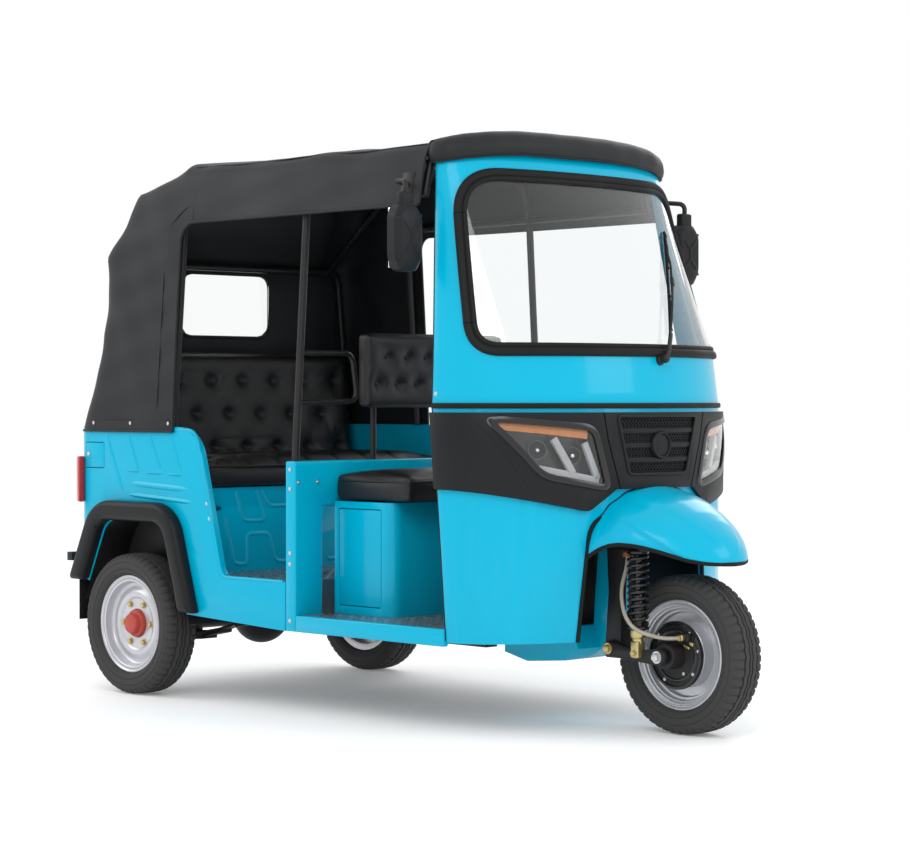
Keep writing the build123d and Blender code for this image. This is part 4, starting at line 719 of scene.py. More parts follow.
def rounded(points: Sequence[tuple[float, float]], radius: float, steps: int = 6,
            closed: bool = True) -> list[tuple[float, float]]:
    """A flat outline with its corners rounded.

    Args:
        points: The corners in order.
        radius: The corner radius.
        steps: The number of steps in each corner.
        closed: Whether the outline returns to its start.

    Returns:
        The rounded outline's points.
    """
    outline: list[tuple[float, float]] = []
    count = len(points)
    for index, corner in enumerate(points):
        if not closed and index in (0, count - 1):
            outline.append(corner)
            continue
        here = Vector(corner)
        before = (Vector(points[index - 1]) - here)
        after = (Vector(points[(index + 1) % count]) - here)
        cut = min(radius, 0.45 * before.length, 0.45 * after.length)
        start = here + before.normalized() * cut
        end = here + after.normalized() * cut
        for step in range(steps + 1):
            share = step / steps
            place = start * (1 - share) ** 2 + here * (2 * share * (1 - share)) + end * share ** 2
            outline.append((place.x, place.y))
    return outline


def fine(points: Sequence[Point], gap: float, closed: bool = False) -> list[Point]:
    """A route with points added so that no run is longer than a gap.

    Args:
        points: The route's points.
        gap: The longest run.
        closed: Whether the route returns to its start.

    Returns:
        The finer route.
    """
    ends = list(points) + ([points[0]] if closed else [])
    route: list[Point] = []
    for first, second in zip(ends, ends[1:]):
        start, end = Vector(first), Vector(second)
        parts = max(1, math.ceil((end - start).length / gap))
        route.extend(tuple(start.lerp(end, part / parts)) for part in range(parts))
    if not closed:
        route.append(tuple(ends[-1]))
    return route


def on_cab(outline: Sequence[tuple[float, float]], proud: float, gap: float = 0.012,
           closed: bool = True) -> list[Point]:
    """A flat outline (y, z) laid on the cab's skin.

    Args:
        outline: The outline, seen from the front.
        proud: How far outside the skin it lies.
        gap: The longest run between points.
        closed: Whether the outline returns to its start.

    Returns:
        The points on the skin.
    """
    flat = fine([(0.0, y, z) for y, z in outline], gap, closed)
    return [cab_point(y, z, proud) for _, y, z in flat]


def grid_mesh(name: str, rows: Sequence[Sequence[Point]], wrap: bool = False) -> bpy.types.Object:
    """A sheet of four-sided faces through rows of points.

    Args:
        name: The object's name.
        rows: Rows of equally many points.
        wrap: Whether each row returns to its start.

    Returns:
        The sheet.
    """
    count = len(rows[0])
    points = [point for row in rows for point in row]
    faces = []
    last = count if wrap else count - 1
    for row in range(len(rows) - 1):
        for column in range(last):
            near = row * count + column
            side = row * count + (column + 1) % count
            faces.append((near, side, side + count, near + count))
    mesh = bpy.data.meshes.new(name)
    mesh.from_pydata(points, [], faces)
    return placed(name, mesh)


def sweep(name: str, route: Sequence[Point], ups: Sequence[Point],
          profile: Sequence[tuple[float, float]], closed: bool = False,
          soft: float = 0.0) -> bpy.types.Object:
    """A profile carried along a route that lies on a surface.

    Args:
        name: The object's name.
        route: The route's points.
        ups: The surface's outward direction at each point.
        profile: The profile's points as (across, height).
        closed: Whether the route returns to its start.
        soft: The width of its edge bevel.

    Returns:
        The swept piece.
    """
    rows: list[list[Point]] = [[] for _ in profile]
    count = len(route)
    for index, place in enumerate(route):
        here = Vector(place)
        ahead = Vector(route[(index + 1) % count] if closed or index < count - 1 else route[index])
        behind = Vector(route[index - 1] if closed or index else route[index])
        up = Vector(ups[index]).normalized()
        across = (ahead - behind).cross(up).normalized()
        for row, (out, lift) in zip(rows, profile):
            row.append(tuple(here + across * out + up * lift))
    piece = grid_mesh(name, [*rows, rows[0]], wrap=closed)
    with editing(piece, "VERT"):
        bpy.ops.mesh.select_all(action="SELECT")
        bpy.ops.mesh.remove_doubles(threshold=0.00001)
        if not closed:
            fill_open()
        face_out()
    if soft:
        ease(piece, soft, 2)
    return piece


def strip(name: str, route: Sequence[Point], ups: Sequence[Point], width: float, height: float,
          closed: bool = False, soft: float = 0.0012) -> bpy.types.Object:
    """A flat strip that lies on a surface along a route.

    Args:
        name: The object's name.
        route: The middle of its underside.
        ups: The surface's outward direction at each point.
        width: Its width.
        height: Its thickness.
        closed: Whether the route returns to its start.
        soft: The width of its edge bevel.

    Returns:
        The strip.
    """
    half = width / 2
    profile = ((-half, 0.0), (-half, height), (half, height), (half, 0.0))
    return sweep(name, route, ups, profile, closed, soft)


def face_up(piece: bpy.types.Object) -> None:
    """Turns a sheet's faces over if most of them look down.

    Args:
        piece: The sheet.
    """
    if sum(face.normal.z * face.area for face in piece.data.polygons) < 0:
        flip(piece)


def cab_ups(route: Sequence[Point]) -> list[Point]:
    """The cab skin's outward directions along a route on it.

    Args:
        route: Points on the skin.

    Returns:
        One direction for each point.
    """
    ups = []
    for _, y, z in route:
        level = cab_level(z)
        share = math.sqrt(max(0.02, 1.0 - (y / (level.half + 0.03)) ** 2))
        ups.append((share / level.reach, y / level.half ** 2, 0.3))
    return ups


def softened(name: str, source: str, width: float, side: float,
             press: tuple[float, float]) -> bpy.types.Object:
    """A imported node's copy with merged corners and softened edges.

    Args:
        name: The copy's name.
        source: The node.
        width: The width of the edge bevel.
        side: The half width to which the copy is pressed flat.
        press: The depth of a recess's floor and the depth to which it is brought out.

    Returns:
        The copy.
    """
    node = frame["nodes"][source]
    mesh = node.data.copy()
    mesh.transform(node.matrix_world)
    for corner in mesh.vertices:
        corner.co.y = max(-side, min(side, corner.co.y))
        if abs(corner.co.x - press[0]) < 0.0003:
            corner.co.x = press[1]
    piece = placed(name, mesh)
    with editing(piece, "VERT"):
        bpy.ops.mesh.select_all(action="SELECT")
        bpy.ops.mesh.remove_doubles(threshold=0.00002)
        bpy.ops.mesh.dissolve_degenerate(threshold=0.00002)
        bpy.ops.mesh.dissolve_limited(angle_limit=math.radians(2.0))
    ease(piece, width, 2, 26.0)
    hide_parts(source)
    return piece


def bolt(name: str, radius: float, at: Point, out: Point, domed: bool = True) -> bpy.types.Object:
    """A bolt head with a washer, standing on a surface.

    Args:
        name: The object's name.
        radius: The washer's radius.
        at: The point on the surface.
        out: The surface's outward direction.
        domed: Whether the head is a dome instead of a hexagon.

    Returns:
        The bolt head.
    """
    washer = drum(f"{name}_washer", radius, 0.2 * radius, (0, 0, 0.1 * radius), sides=16)
    if domed:
        clear_selection()
        bpy.ops.mesh.primitive_uv_sphere_add(segments=14, ring_count=8, radius=0.74 * radius)
        head = bpy.context.object
        head.scale = (1.0, 1.0, 0.62)
        head.location = (0, 0, 0.2 * radius)
        settle(head)
        with editing(head, "VERT"):
            bpy.ops.mesh.select_all(action="SELECT")
            bpy.ops.mesh.bisect(plane_co=(0, 0, 0.18 * radius), plane_no=(0, 0, 1), clear_inner=True,
                                use_fill=True)
    else:
        head = drum(f"{name}_head", 0.7 * radius, 0.62 * radius, (0, 0, 0.5 * radius), sides=6,
                    soft=0.08 * radius)
    piece = join(name, [washer, head])
    piece.data.transform(standing(at, out))
    return piece


def bolts(name: str, radius: float, places: Sequence[tuple[Point, Point]],
          domed: bool = True) -> bpy.types.Object:
    """A set of equal bolt heads, modelled once and copied.

    Args:
        name: The set's name.
        radius: The washers' radius.
        places: The point and the outward direction of each.
        domed: Whether the heads are domes.

    Returns:
        The joined set.
    """
    first = bolt(f"{name}_first", radius, (0, 0, 0), (0, 0, 1), domed)
    copies = [copy_of(first, f"{name}_{index}", standing(at, out))
              for index, (at, out) in enumerate(places)]
    bpy.data.objects.remove(first)
    return join(name, copies)


# Bodywork: packed panels copied with softened edges


BODY_OF = {node: body for body, nodes in frame["record"]["behaviour"]["bodies"].items()
           for node in nodes}


@dataclass(frozen=True)
class Panel:
    """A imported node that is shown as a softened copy."""

    source: str
    finish: Finish
    slot: str
    edge: float
    side: float = FAR
    press: tuple[float, float] = (FAR, FAR)


@dataclass
class Bodywork:
    """Painted, moulded and welded panels in their packed form, with softened edges."""

    panels: tuple[Panel, ...] = (
        Panel("front_frame", PAINT, "body_paint", 0.0015),
        Panel("door_sills", PAINT, "body_paint", 0.004),
        Panel("quarter_right", PAINT, "body_paint", 0.0026, side=BODY_HALF),
        Panel("quarter_left", PAINT, "body_paint", 0.0026, side=BODY_HALF),
        Panel("tail_panel", PAINT, "body_paint", 0.004),
        Panel("bench_base", PAINT, "body_paint", 0.004, press=(-0.6215, -0.6165)),
        Panel("partition", PAINT, "body_paint", 0.006),
        Panel("nose_panel", PAINT, "body_paint", 0.004),
        Panel("bulkhead", BLACK_PAINT, "frame_black", 0.003),
        Panel("seat_box", PAINT, "body_paint", 0.005),
        Panel("seat_box_door", PAINT, "body_paint", 0.003),
        Panel("fuel_flap", PAINT, "body_paint", 0.002),
        Panel("arch_flares", PLASTIC, "trim_plastic", 0.014),
        Panel("lamp_band", PLASTIC, "trim_plastic", 0.005),
        Panel("dash_shelf", PLASTIC, "trim_plastic", 0.004),
        Panel("belt_trim", RUBBER, "soft_rubber", 0.003),
        Panel("mud_flaps", RUBBER, "soft_rubber", 0.0015),
        Panel("rear_bumper", BLACK_PAINT, "frame_black", 0.004),
        Panel("chassis_frame", BLACK_PAINT, "frame_black", 0.004),
        Panel("wheel_housings", BLACK_PAINT, "frame_black", 0.003),
        Panel("rear_axle", BLACK_PAINT, "frame_black", 0.004),
        Panel("leaf_springs", BLACK_PAINT, "frame_black", 0.0015),
        Panel("steering_fork", BLACK_PAINT, "frame_black", 0.0015),
        Panel("front_link", BLACK_PAINT, "frame_black", 0.005),
        Panel("brake_plate", BLACK_PAINT, "frame_black", 0.004),
        Panel("mirror_arms", BLACK_PAINT, "frame_black", 0.0015),
        Panel("tail_lamps", RED_LAMP, "lamp_red", 0.006),
        Panel("engine_block", ALLOY, "engine_metal", 0.008),
        Panel("grille", PLASTIC, "trim_plastic", 0.002),
    )
    head_point: Point = (0.8326, 0.0, 0.7)
    head_way: Point = (-0.3972, 0.0, 0.9177)
    stem_radius: tuple[float, float] = (0.020, 0.0256)
    stem_play: float = 0.0008
    kept: dict[str, Finish | ClearFinish] = field(default_factory=lambda: {
        "canopy_frame": BLACK_PAINT, "backrest_posts": BLACK_PAINT, "drive_shaft": BLACK_PAINT,
        "rear_window": SOFT_WINDOW, "headlamp_lenses": LENS, "headlamp_bowls": BOWL,
        "handlebar": BLACK_PAINT, "driver_floor": CHEQUER, "passenger_floor": CHEQUER,
    })

    def build(self) -> None:
        """Copies and dresses the panels, and gives the kept nodes their finish."""
        for panel in self.panels:
            piece = softened(f"{panel.source}_skin", panel.source, panel.edge, panel.side, panel.press)
            if panel.source == "steering_fork":
                self.ease_stem(piece)
            dress(piece, panel.finish, Body(BODY_OF[panel.source]), 30)
        for name, finish in self.kept.items():
            node = frame["nodes"][name]
            node.data.materials.clear()
            node.data.materials.append(finish.material())

    def ease_stem(self, fork: bpy.types.Object) -> None:
        """Draws the fork's stem in, so that its facets clear the head tube's when it turns.

        Args:
            fork: The fork's copy.
        """
        way = Vector(self.head_way).normalized()
        for corner in fork.data.vertices:
            out = corner.co - Vector(self.head_point)
            out -= way * out.dot(way)
            if self.stem_radius[0] < out.length < self.stem_radius[1]:
                corner.co -= out.normalized() * self.stem_play


# Windscreen: panel, glass and seal, laid out along the cab's skin


def skin_run(z: float, angle: float) -> float:
    """The distance along the cab's skin from its middle to an angle of its plan.

    Args:
        z: The height.
        angle: The angle in degrees.

    Returns:
        The distance.
    """
    level = cab_level(z)
    steps = 60
    turn = math.radians(angle) / steps
    middles = [(step + 0.5) * turn for step in range(steps)]
    return sum(turn * math.hypot(level.half * math.cos(middle), level.reach * math.sin(middle))
               for middle in middles)


def unrolled(u: float, z: float, proud: float = 0.0) -> Point:
    """The point of the cab's skin at a distance from its middle.

    Args:
        u: The distance along the skin, negative to the right.
        z: The height.
        proud: How far outside the skin.

    Returns:
        The point.
    """
    level = cab_level(z)
    left = abs(u)
    turn = math.pi / 180
    angle = 0.0
    for step in range(90):
        middle = (step + 0.5) * turn
        run = turn * math.hypot(level.half * math.cos(middle), level.reach * math.sin(middle))
        angle += turn * min(1.0, left / run)
        left = max(0.0, left - run)
    return (level.edge + CAB_RUN + (level.reach + proud) * math.cos(angle) - left,
            math.copysign((level.half + proud) * math.sin(angle), u), z)


def skin_out(u: float, z: float) -> Point:
    """The skin's outward direction at a place on it.

    Args:
        u: The distance along the skin.
        z: The height.

    Returns:
        The direction.
    """
    near = 0.002
    along = Vector(unrolled(u + near, z)) - Vector(unrolled(u - near, z))
    rise = Vector(unrolled(u, z + near)) - Vector(unrolled(u, z - near))
    return tuple(along.cross(rise).normalized())


@dataclass
class Windscreen:
    """The panel round the windscreen, the bent glass, its two-lipped seal and the wiper."""

    foot: float = 1.170
    top: float = 1.710
    side: float = 70.0
    corners: tuple[float, float] = (0.085, 0.140)
    levels: tuple[tuple[float, ...], tuple[float, ...]] = (
        (1.000, 1.040, 1.080, 1.120, 1.150, 1.165), (1.735, 1.755, 1.770, 1.786))
    wall: float = 0.014
    pane: float = 0.005
    play: float = 0.002
    columns: int = 64
    joints: tuple[float, float] = (1.248, 1.585)
    lips: tuple[tuple[float, float], ...] = (
        (0.0215, -0.001), (0.0215, 0.004), (0.0195, 0.0085), (0.0150, 0.0112), (0.0085, 0.0120),
        (0.0010, 0.0108), (-0.0035, 0.0082), (-0.0048, 0.0056), (-0.0062, 0.0056), (-0.0075, 0.0078),
        (-0.0110, 0.0092), (-0.0160, 0.0085), (-0.0195, 0.0062), (-0.0210, 0.0030), (-0.0210, -0.001),
    )
    blade: tuple[tuple[float, float], tuple[float, float]] = ((0.120, 1.225), (0.331, 1.563))
    pivot: tuple[float, float] = (0.030, 1.141)

    def build(self) -> None:
        """Builds the panel, the glass, the seal and the wiper."""
        self.build_panel()
        self.build_glass()
        self.build_seal()
        self.build_wiper()

    def ends(self) -> tuple[tuple[float, float], tuple[float, float]]:
        """The opening's foot and top corner before rounding, as (u, z)."""
        return (skin_run(self.foot, self.side), self.foot), (skin_run(self.top, self.side), self.top)

    def edge(self) -> list[tuple[float, float]]:
        """The left half of the opening's outline, from its foot to its top.

        Returns:
            Points as (u, z), with the heights rising.
        """
        low, high = self.ends()
        first = rounded(((0.0, self.foot), low, high), self.corners[0], 12, closed=False)[1:-1]
        last = rounded((low, high, (0.0, self.top)), self.corners[1], 16, closed=False)[1:-1]
        run = fine([(0.0, *first[-1]), (0.0, *last[0])], 0.03)
        return first + [(u, z) for _, u, z in run[1:-1]] + last

    def build_panel(self) -> None:
        """Builds the painted panel as one sheet of four-sided faces with the opening left out."""
        edge = self.edge()
        below, above = self.levels
        lines = [(edge[0][0], z) for z in below] + edge + [(edge[-1][0], z) for z in above]
        band, middle = 12, self.columns
        rows = []
        for half, z in lines:
            end = skin_run(z, 90.0) + CAB_RUN
            right = [-end + (end - half) * part / band for part in range(band + 1)]
            across = [-half + 2 * half * part / middle for part in range(1, middle)]
            rows.append([unrolled(u, z) for u in (*right, *across, *(-u for u in reversed(right)))])
        panel = grid_mesh("windscreen_panel_skin", rows)
        count = len(rows[0]) - 1
        first = len(below)
        last = first + len(edge) - 1
        opening = {row * count + column for row in range(first, last)
                   for column in range(band, band + middle)}
        with editing(panel):
            pick_faces(panel, lambda face: face.index in opening)
            bpy.ops.mesh.delete(type="FACE")
        modify(panel, "SOLIDIFY", thickness=self.wall, offset=-1.0)
        ease(panel, 0.003, 2)
        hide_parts("windscreen_panel")
        dress(panel, PAINT, Body.CHASSIS, 30)

    def build_glass(self) -> None:
        """Builds the bent glass."""
        rows = []
        for half, z in self.edge():
            height = min(self.top - self.play, max(self.foot + self.play, z))
            rows.append([unrolled((half - self.play) * (2 * part / self.columns - 1), height)
                         for part in range(self.columns + 1)])
        glass = grid_mesh("windscreen_glass", rows[1:-1])
        modify(glass, "SOLIDIFY", thickness=self.pane, offset=-1.0)
        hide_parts("windscreen")
        dress(glass, GLASS, Body.CHASSIS, 40)

    def build_seal(self) -> None:
        """Builds the rubber seal and the dark lines where its lengths meet."""
        half = self.edge()
        whole = (*half, *((-u, z) for u, z in reversed(half)))
        flat = fine([(0.0, u, z) for u, z in whole], 0.012, closed=True)
        route = [unrolled(u, z) for _, u, z in flat]
        ups = [skin_out(u, z) for _, u, z in flat]
        seal = sweep("windscreen_seal_skin", route, ups, self.lips, closed=True)
        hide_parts("windscreen_seal")
        dress(seal, RUBBER, Body.CHASSIS, 45)
        low, high = (Vector(end) for end in self.ends())
        joints = []
        wide = [(1.02 * out, lift + 0.0004) for out, lift in self.lips]
        for side in (-1, 1):
            for z in self.joints:
                places = []
                for lift in (-0.0008, 0.0008):
                    place = low.lerp(high, (z + lift - self.foot) / (self.top - self.foot))
                    places.append((side * place.x, place.y))
                joints.append(sweep("seal_joint", [unrolled(*place) for place in places],
                                    [skin_out(*place) for place in places],
                                    [(side * out, lift) for out, lift in wide]))
        dress(join("seal_joints", joints), GAP_BLACK, Body.CHASSIS)

    def over(self, ends: Sequence[tuple[float, float]], lifts: Sequence[float]) -> list[Point]:
        """A route over the glass, with its height over it changing along the way.

        Args:
            ends: The two ends as (y, z).
            lifts: Evenly spaced heights over the glass.

        Returns:
            The route.
        """
        first, last = (Vector(end) for end in ends)
        steps = 8
        count = steps * (len(lifts) - 1)
        route = []
        for part in range(count + 1):
            place = first.lerp(last, part / count)
            index = min(part // steps, len(lifts) - 2)
            share = part / steps - index
            lift = lifts[index] + (lifts[index + 1] - lifts[index]) * share * share * (3 - 2 * share)
            route.append(cab_point(place.x, place.y, lift))
        return route

    def build_wiper(self) -> None:
        """Builds the wiper: capped pivot, folded arm head, rod, bridged blade and its rubber."""
        foot, tip = (Vector(end) for end in self.blade)
        at = cab_point(*self.pivot)
        out = cab_ups([at])[0]
        cap = ((0.0005, 0.036), (0.0070, 0.0355), (0.0105, 0.032), (0.0120, 0.024), (0.0120, 0.010),
               (0.0165, 0.007), (0.0175, 0.000), (0.0005, 0.000))
        metal = [turned_up("wiper_cap", cap, at, out, 28)]
        middle = foot.lerp(tip, 0.5)
        knee = Vector(self.pivot).lerp(middle, 0.34)
        head = self.over((self.pivot, tuple(knee)), (0.019, 0.021, 0.022))
        metal.append(strip("wiper_head", head, cab_ups(head), 0.0150, 0.0095, soft=0.0030))
        ends = (tuple(Vector(self.pivot).lerp(middle, 0.30)), tuple(middle))
        metal.append(tube("wiper_rod", self.over(ends, (0.026, 0.027, 0.025)), 0.0040))
        for start, end, lifts, radius in ((0.20, 0.80, (0.013, 0.022, 0.0225, 0.022, 0.013), 0.0040),
                                          (0.04, 0.36, (0.0095, 0.0145, 0.0095), 0.0032),
                                          (0.64, 0.96, (0.0095, 0.0145, 0.0095), 0.0032)):
            ends = (tuple(foot.lerp(tip, start)), tuple(foot.lerp(tip, end)))
            metal.append(tube("wiper_bridge", self.over(ends, lifts), radius))
        for share, wide in ((0.04, 0.012), (0.20, 0.010), (0.36, 0.012), (0.64, 0.012), (0.80, 0.010),
                            (0.96, 0.012)):
            ends = (tuple(foot.lerp(tip, share - 0.012)), tuple(foot.lerp(tip, share + 0.012)))
            claw = self.over(ends, (0.0055, 0.0055))
            metal.append(strip("wiper_claw", claw, cab_ups(claw), wide, 0.0085, soft=0.0015))
        clip = self.over((tuple(foot.lerp(tip, 0.46)), tuple(foot.lerp(tip, 0.54))), (0.0185, 0.0185))
        metal.append(strip("wiper_clip", clip, cab_ups(clip), 0.0150, 0.0110, soft=0.0030))
        arm = join("wiper_arm", metal)
        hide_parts("wiper")
        dress(arm, BLACK_PAINT, Body.CHASSIS, 45)
        line = self.over(self.blade, (0.0008,) * 5)
        lip = ((-0.0010, 0.0), (-0.0035, 0.0055), (-0.0035, 0.0085), (0.0035, 0.0085), (0.0035, 0.0055),
               (0.0010, 0.0))
        rubber = sweep("wiper_rubber", line, cab_ups(line), lip)
        dress(rubber, RUBBER, Body.CHASSIS, 40)


# Wheels


@dataclass
class Wheels:
    """Three ribbed tyres on silver rims, with red rear hubs."""

    steps: int = 216
    sipe: float = 0.0055
    nut_ring: float = 0.074
    nut_count: int = 6
    tread: tuple[tuple[float, float], ...] = (
        (0.1540, 0.0440), (0.1690, 0.0455), (0.1745, 0.0560), (0.1810, 0.0615), (0.1890, 0.0640),
        (0.1905, 0.0622), (0.1920, 0.0645), (0.2030, 0.0655), (0.2110, 0.0655), (0.2125, 0.0637),
        (0.2140, 0.0652), (0.2230, 0.0640), (0.2290, 0.0612), (0.2345, 0.0565), (0.2390, 0.0505),
        (0.2412, 0.0440), (0.2424, 0.0310), (0.2360, 0.0292), (0.2360, 0.0252), (0.2428, 0.0236),
        (0.2430, 0.0100), (0.2362, 0.0086), (0.2362, 0.0046), (0.2430, 0.0032),
    )
    dish: tuple[tuple[float, float], ...] = (
        (0.1665, -0.0490), (0.1690, -0.0440), (0.1685, -0.0420), (0.1540, -0.0420), (0.1530, 0.0000),
        (0.1540, 0.0420), (0.1685, 0.0420), (0.1690, 0.0450), (0.1672, 0.0485), (0.1635, 0.0496),
        (0.1600, 0.0480), (0.1575, 0.0445), (0.1500, 0.0432), (0.1470, 0.0415), (0.1455, 0.0300),
        (0.1440, 0.0160), (0.1380, 0.0100), (0.1290, 0.0090), (0.1210, 0.0120), (0.1130, 0.0200),
        (0.1040, 0.0225), (0.0920, 0.0205), (0.0860, 0.0150), (0.0500, 0.0150), (0.0490, 0.0100),
        (0.0860, 0.0090), (0.1000, 0.0160), (0.1100, 0.0140), (0.1180, 0.0070), (0.1290, 0.0020),
        (0.1440, 0.0010), (0.1450, -0.0420), (0.1500, -0.0440), (0.1600, -0.0485),
    )
    hub: tuple[tuple[float, float], ...] = (
        (0.0201, -0.0660), (0.1050, -0.0660), (0.1050, 0.0060), (0.0480, 0.0070), (0.0475, 0.0240),
        (0.0450, 0.0275), (0.0390, 0.0285), (0.0370, 0.0300), (0.0355, 0.0420), (0.0320, 0.0475),
        (0.0240, 0.0500), (0.0010, 0.0510), (0.0010, 0.0150), (0.0201, 0.0140),
    )
    front_dish: tuple[tuple[float, float], ...] = (
        (0.1665, 0.0490), (0.1690, 0.0440), (0.1685, 0.0420), (0.1540, 0.0420), (0.1530, 0.0000),
        (0.1540, -0.0420), (0.1685, -0.0420), (0.1690, -0.0450), (0.1672, -0.0485), (0.1635, -0.0496),
        (0.1600, -0.0480), (0.1575, -0.0445), (0.1500, -0.0432), (0.1470, -0.0415), (0.1460, -0.0350),
        (0.1410, -0.0335), (0.1395, -0.0240), (0.1370, -0.0210), (0.1310, -0.0200), (0.1295, -0.0080),
        (0.1270, -0.0040), (0.1170, -0.0030), (0.1020, -0.0040), (0.1000, -0.0460), (0.0960, -0.0495),
        (0.0200, -0.0495), (0.0200, 0.0400), (0.0580, 0.0400), (0.0600, 0.0380), (0.0610, 0.0150),
        (0.0860, 0.0150), (0.0950, 0.0200), (0.1130, 0.0200), (0.1210, 0.0130), (0.1390, 0.0130),
        (0.1450, 0.0400), (0.1500, 0.0440), (0.1600, 0.0485),
    )

    def build(self) -> None:
        """Builds the tyre and the rims once and places them on the three axles."""
        tyre = self.tyre()
        rim = turned("rim_pattern", self.dish, (0, 0, 0), 96, closed=True)
        hub = turned("hub_pattern", self.hub, (0, 0, 0), 48, closed=True)
        nuts = self.nuts()
        for body, side, y in ((Body.REAR_LEFT, 1, WHEEL_Y), (Body.REAR_RIGHT, -1, -WHEEL_Y)):
            place = Matrix.Translation((REAR_AXLE_X, y, TYRE_R)) @ Matrix.Diagonal((1, side, 1, 1))
            end = "left" if side > 0 else "right"
            for pattern, node, finish, slot in (
                (tyre, f"rear_tyre_{end}", TYRE, "tyre_rubber"),
                (rim, f"rear_rim_{end}", SILVER, "rim_silver"),
                (hub, f"rear_hub_{end}", RED_PAINT, "hub_red"),
            ):
                piece = copy_of(pattern, f"{node}_form", place)
                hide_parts(node)
                dress(piece, finish, body, 40)
            dress(copy_of(nuts, f"wheel_nuts_{end}", place), YELLOW_ZINC, body)
        front = copy_of(tyre, "front_tyre_form", Matrix.Translation(FRONT_AXLE))
        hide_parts("front_tyre")
        dress(front, TYRE, Body.FRONT_WHEEL, 40)
        deep = turned("front_rim_form", self.front_dish, tuple(FRONT_AXLE), 96, closed=True)
        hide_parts("front_rim")
        dress(deep, SILVER, Body.FRONT_WHEEL, 40)
        for pattern in (tyre, rim, hub, nuts):
            bpy.data.objects.remove(pattern)

    def tyre(self) -> bpy.types.Object:
        """The tyre at the origin: ringed sidewalls, zigzag grooves and cut shoulders.

        Returns:
            The tyre.
        """
        right = [(radius, -out) for radius, out in self.tread]
        section = right + [(radius, out) for radius, out in reversed(self.tread)]
        piece = turned("tyre_pattern", section, (0, 0, 0), self.steps, closed=True)
        for corner in piece.data.vertices:
            radius = math.hypot(corner.co.x, corner.co.z)
            turn = math.atan2(corner.co.z, corner.co.x) / (2 * math.pi)
            step = round(self.steps * (turn + 1)) % self.steps
            out = abs(corner.co.y)
            if radius > 0.233 and out < 0.033:
                corner.co.y += 0.0016 if step % 6 < 3 else -0.0016
            shift = 2 if corner.co.y > 0 else 0
            if radius > 0.2285 and out > 0.03 and (step + shift) % 4 == 0:
                corner.co *= (radius - self.sipe) / radius
                corner.co.y = math.copysign(out, corner.co.y)
        return piece

    def nuts(self) -> bpy.types.Object:
        """The ring of wheel nuts at the origin.

        Returns:
            The nuts.
        """
        places = []
        for count in range(self.nut_count):
            angle = 2 * math.pi * count / self.nut_count
            at = (self.nut_ring * math.cos(angle), 0.0148, self.nut_ring * math.sin(angle))
            places.append((at, (0.0, 1.0, 0.0)))
        return bolts("wheel_nuts", 0.0125, places, domed=False)


# Seats: padded hide, filled by a cloth simulation


class Stitch(Enum):
    """How the face of a pad is sewn."""

    PLAIN = "plain"
    BUTTONS = "buttons"
    PLEATS = "pleats"


@dataclass(frozen=True)
class Pad:
    """One pad: its size lying flat, its place and its sewing."""

    name: str
    node: str
    size: Point
    place: Matrix
    stitch: Stitch
    rows: tuple[tuple[float, tuple[float, ...]], ...] = ()
    fill: float = 0.7
    dent: float = 0.016
    pressure: float = 4.0
    rounds: int = 2


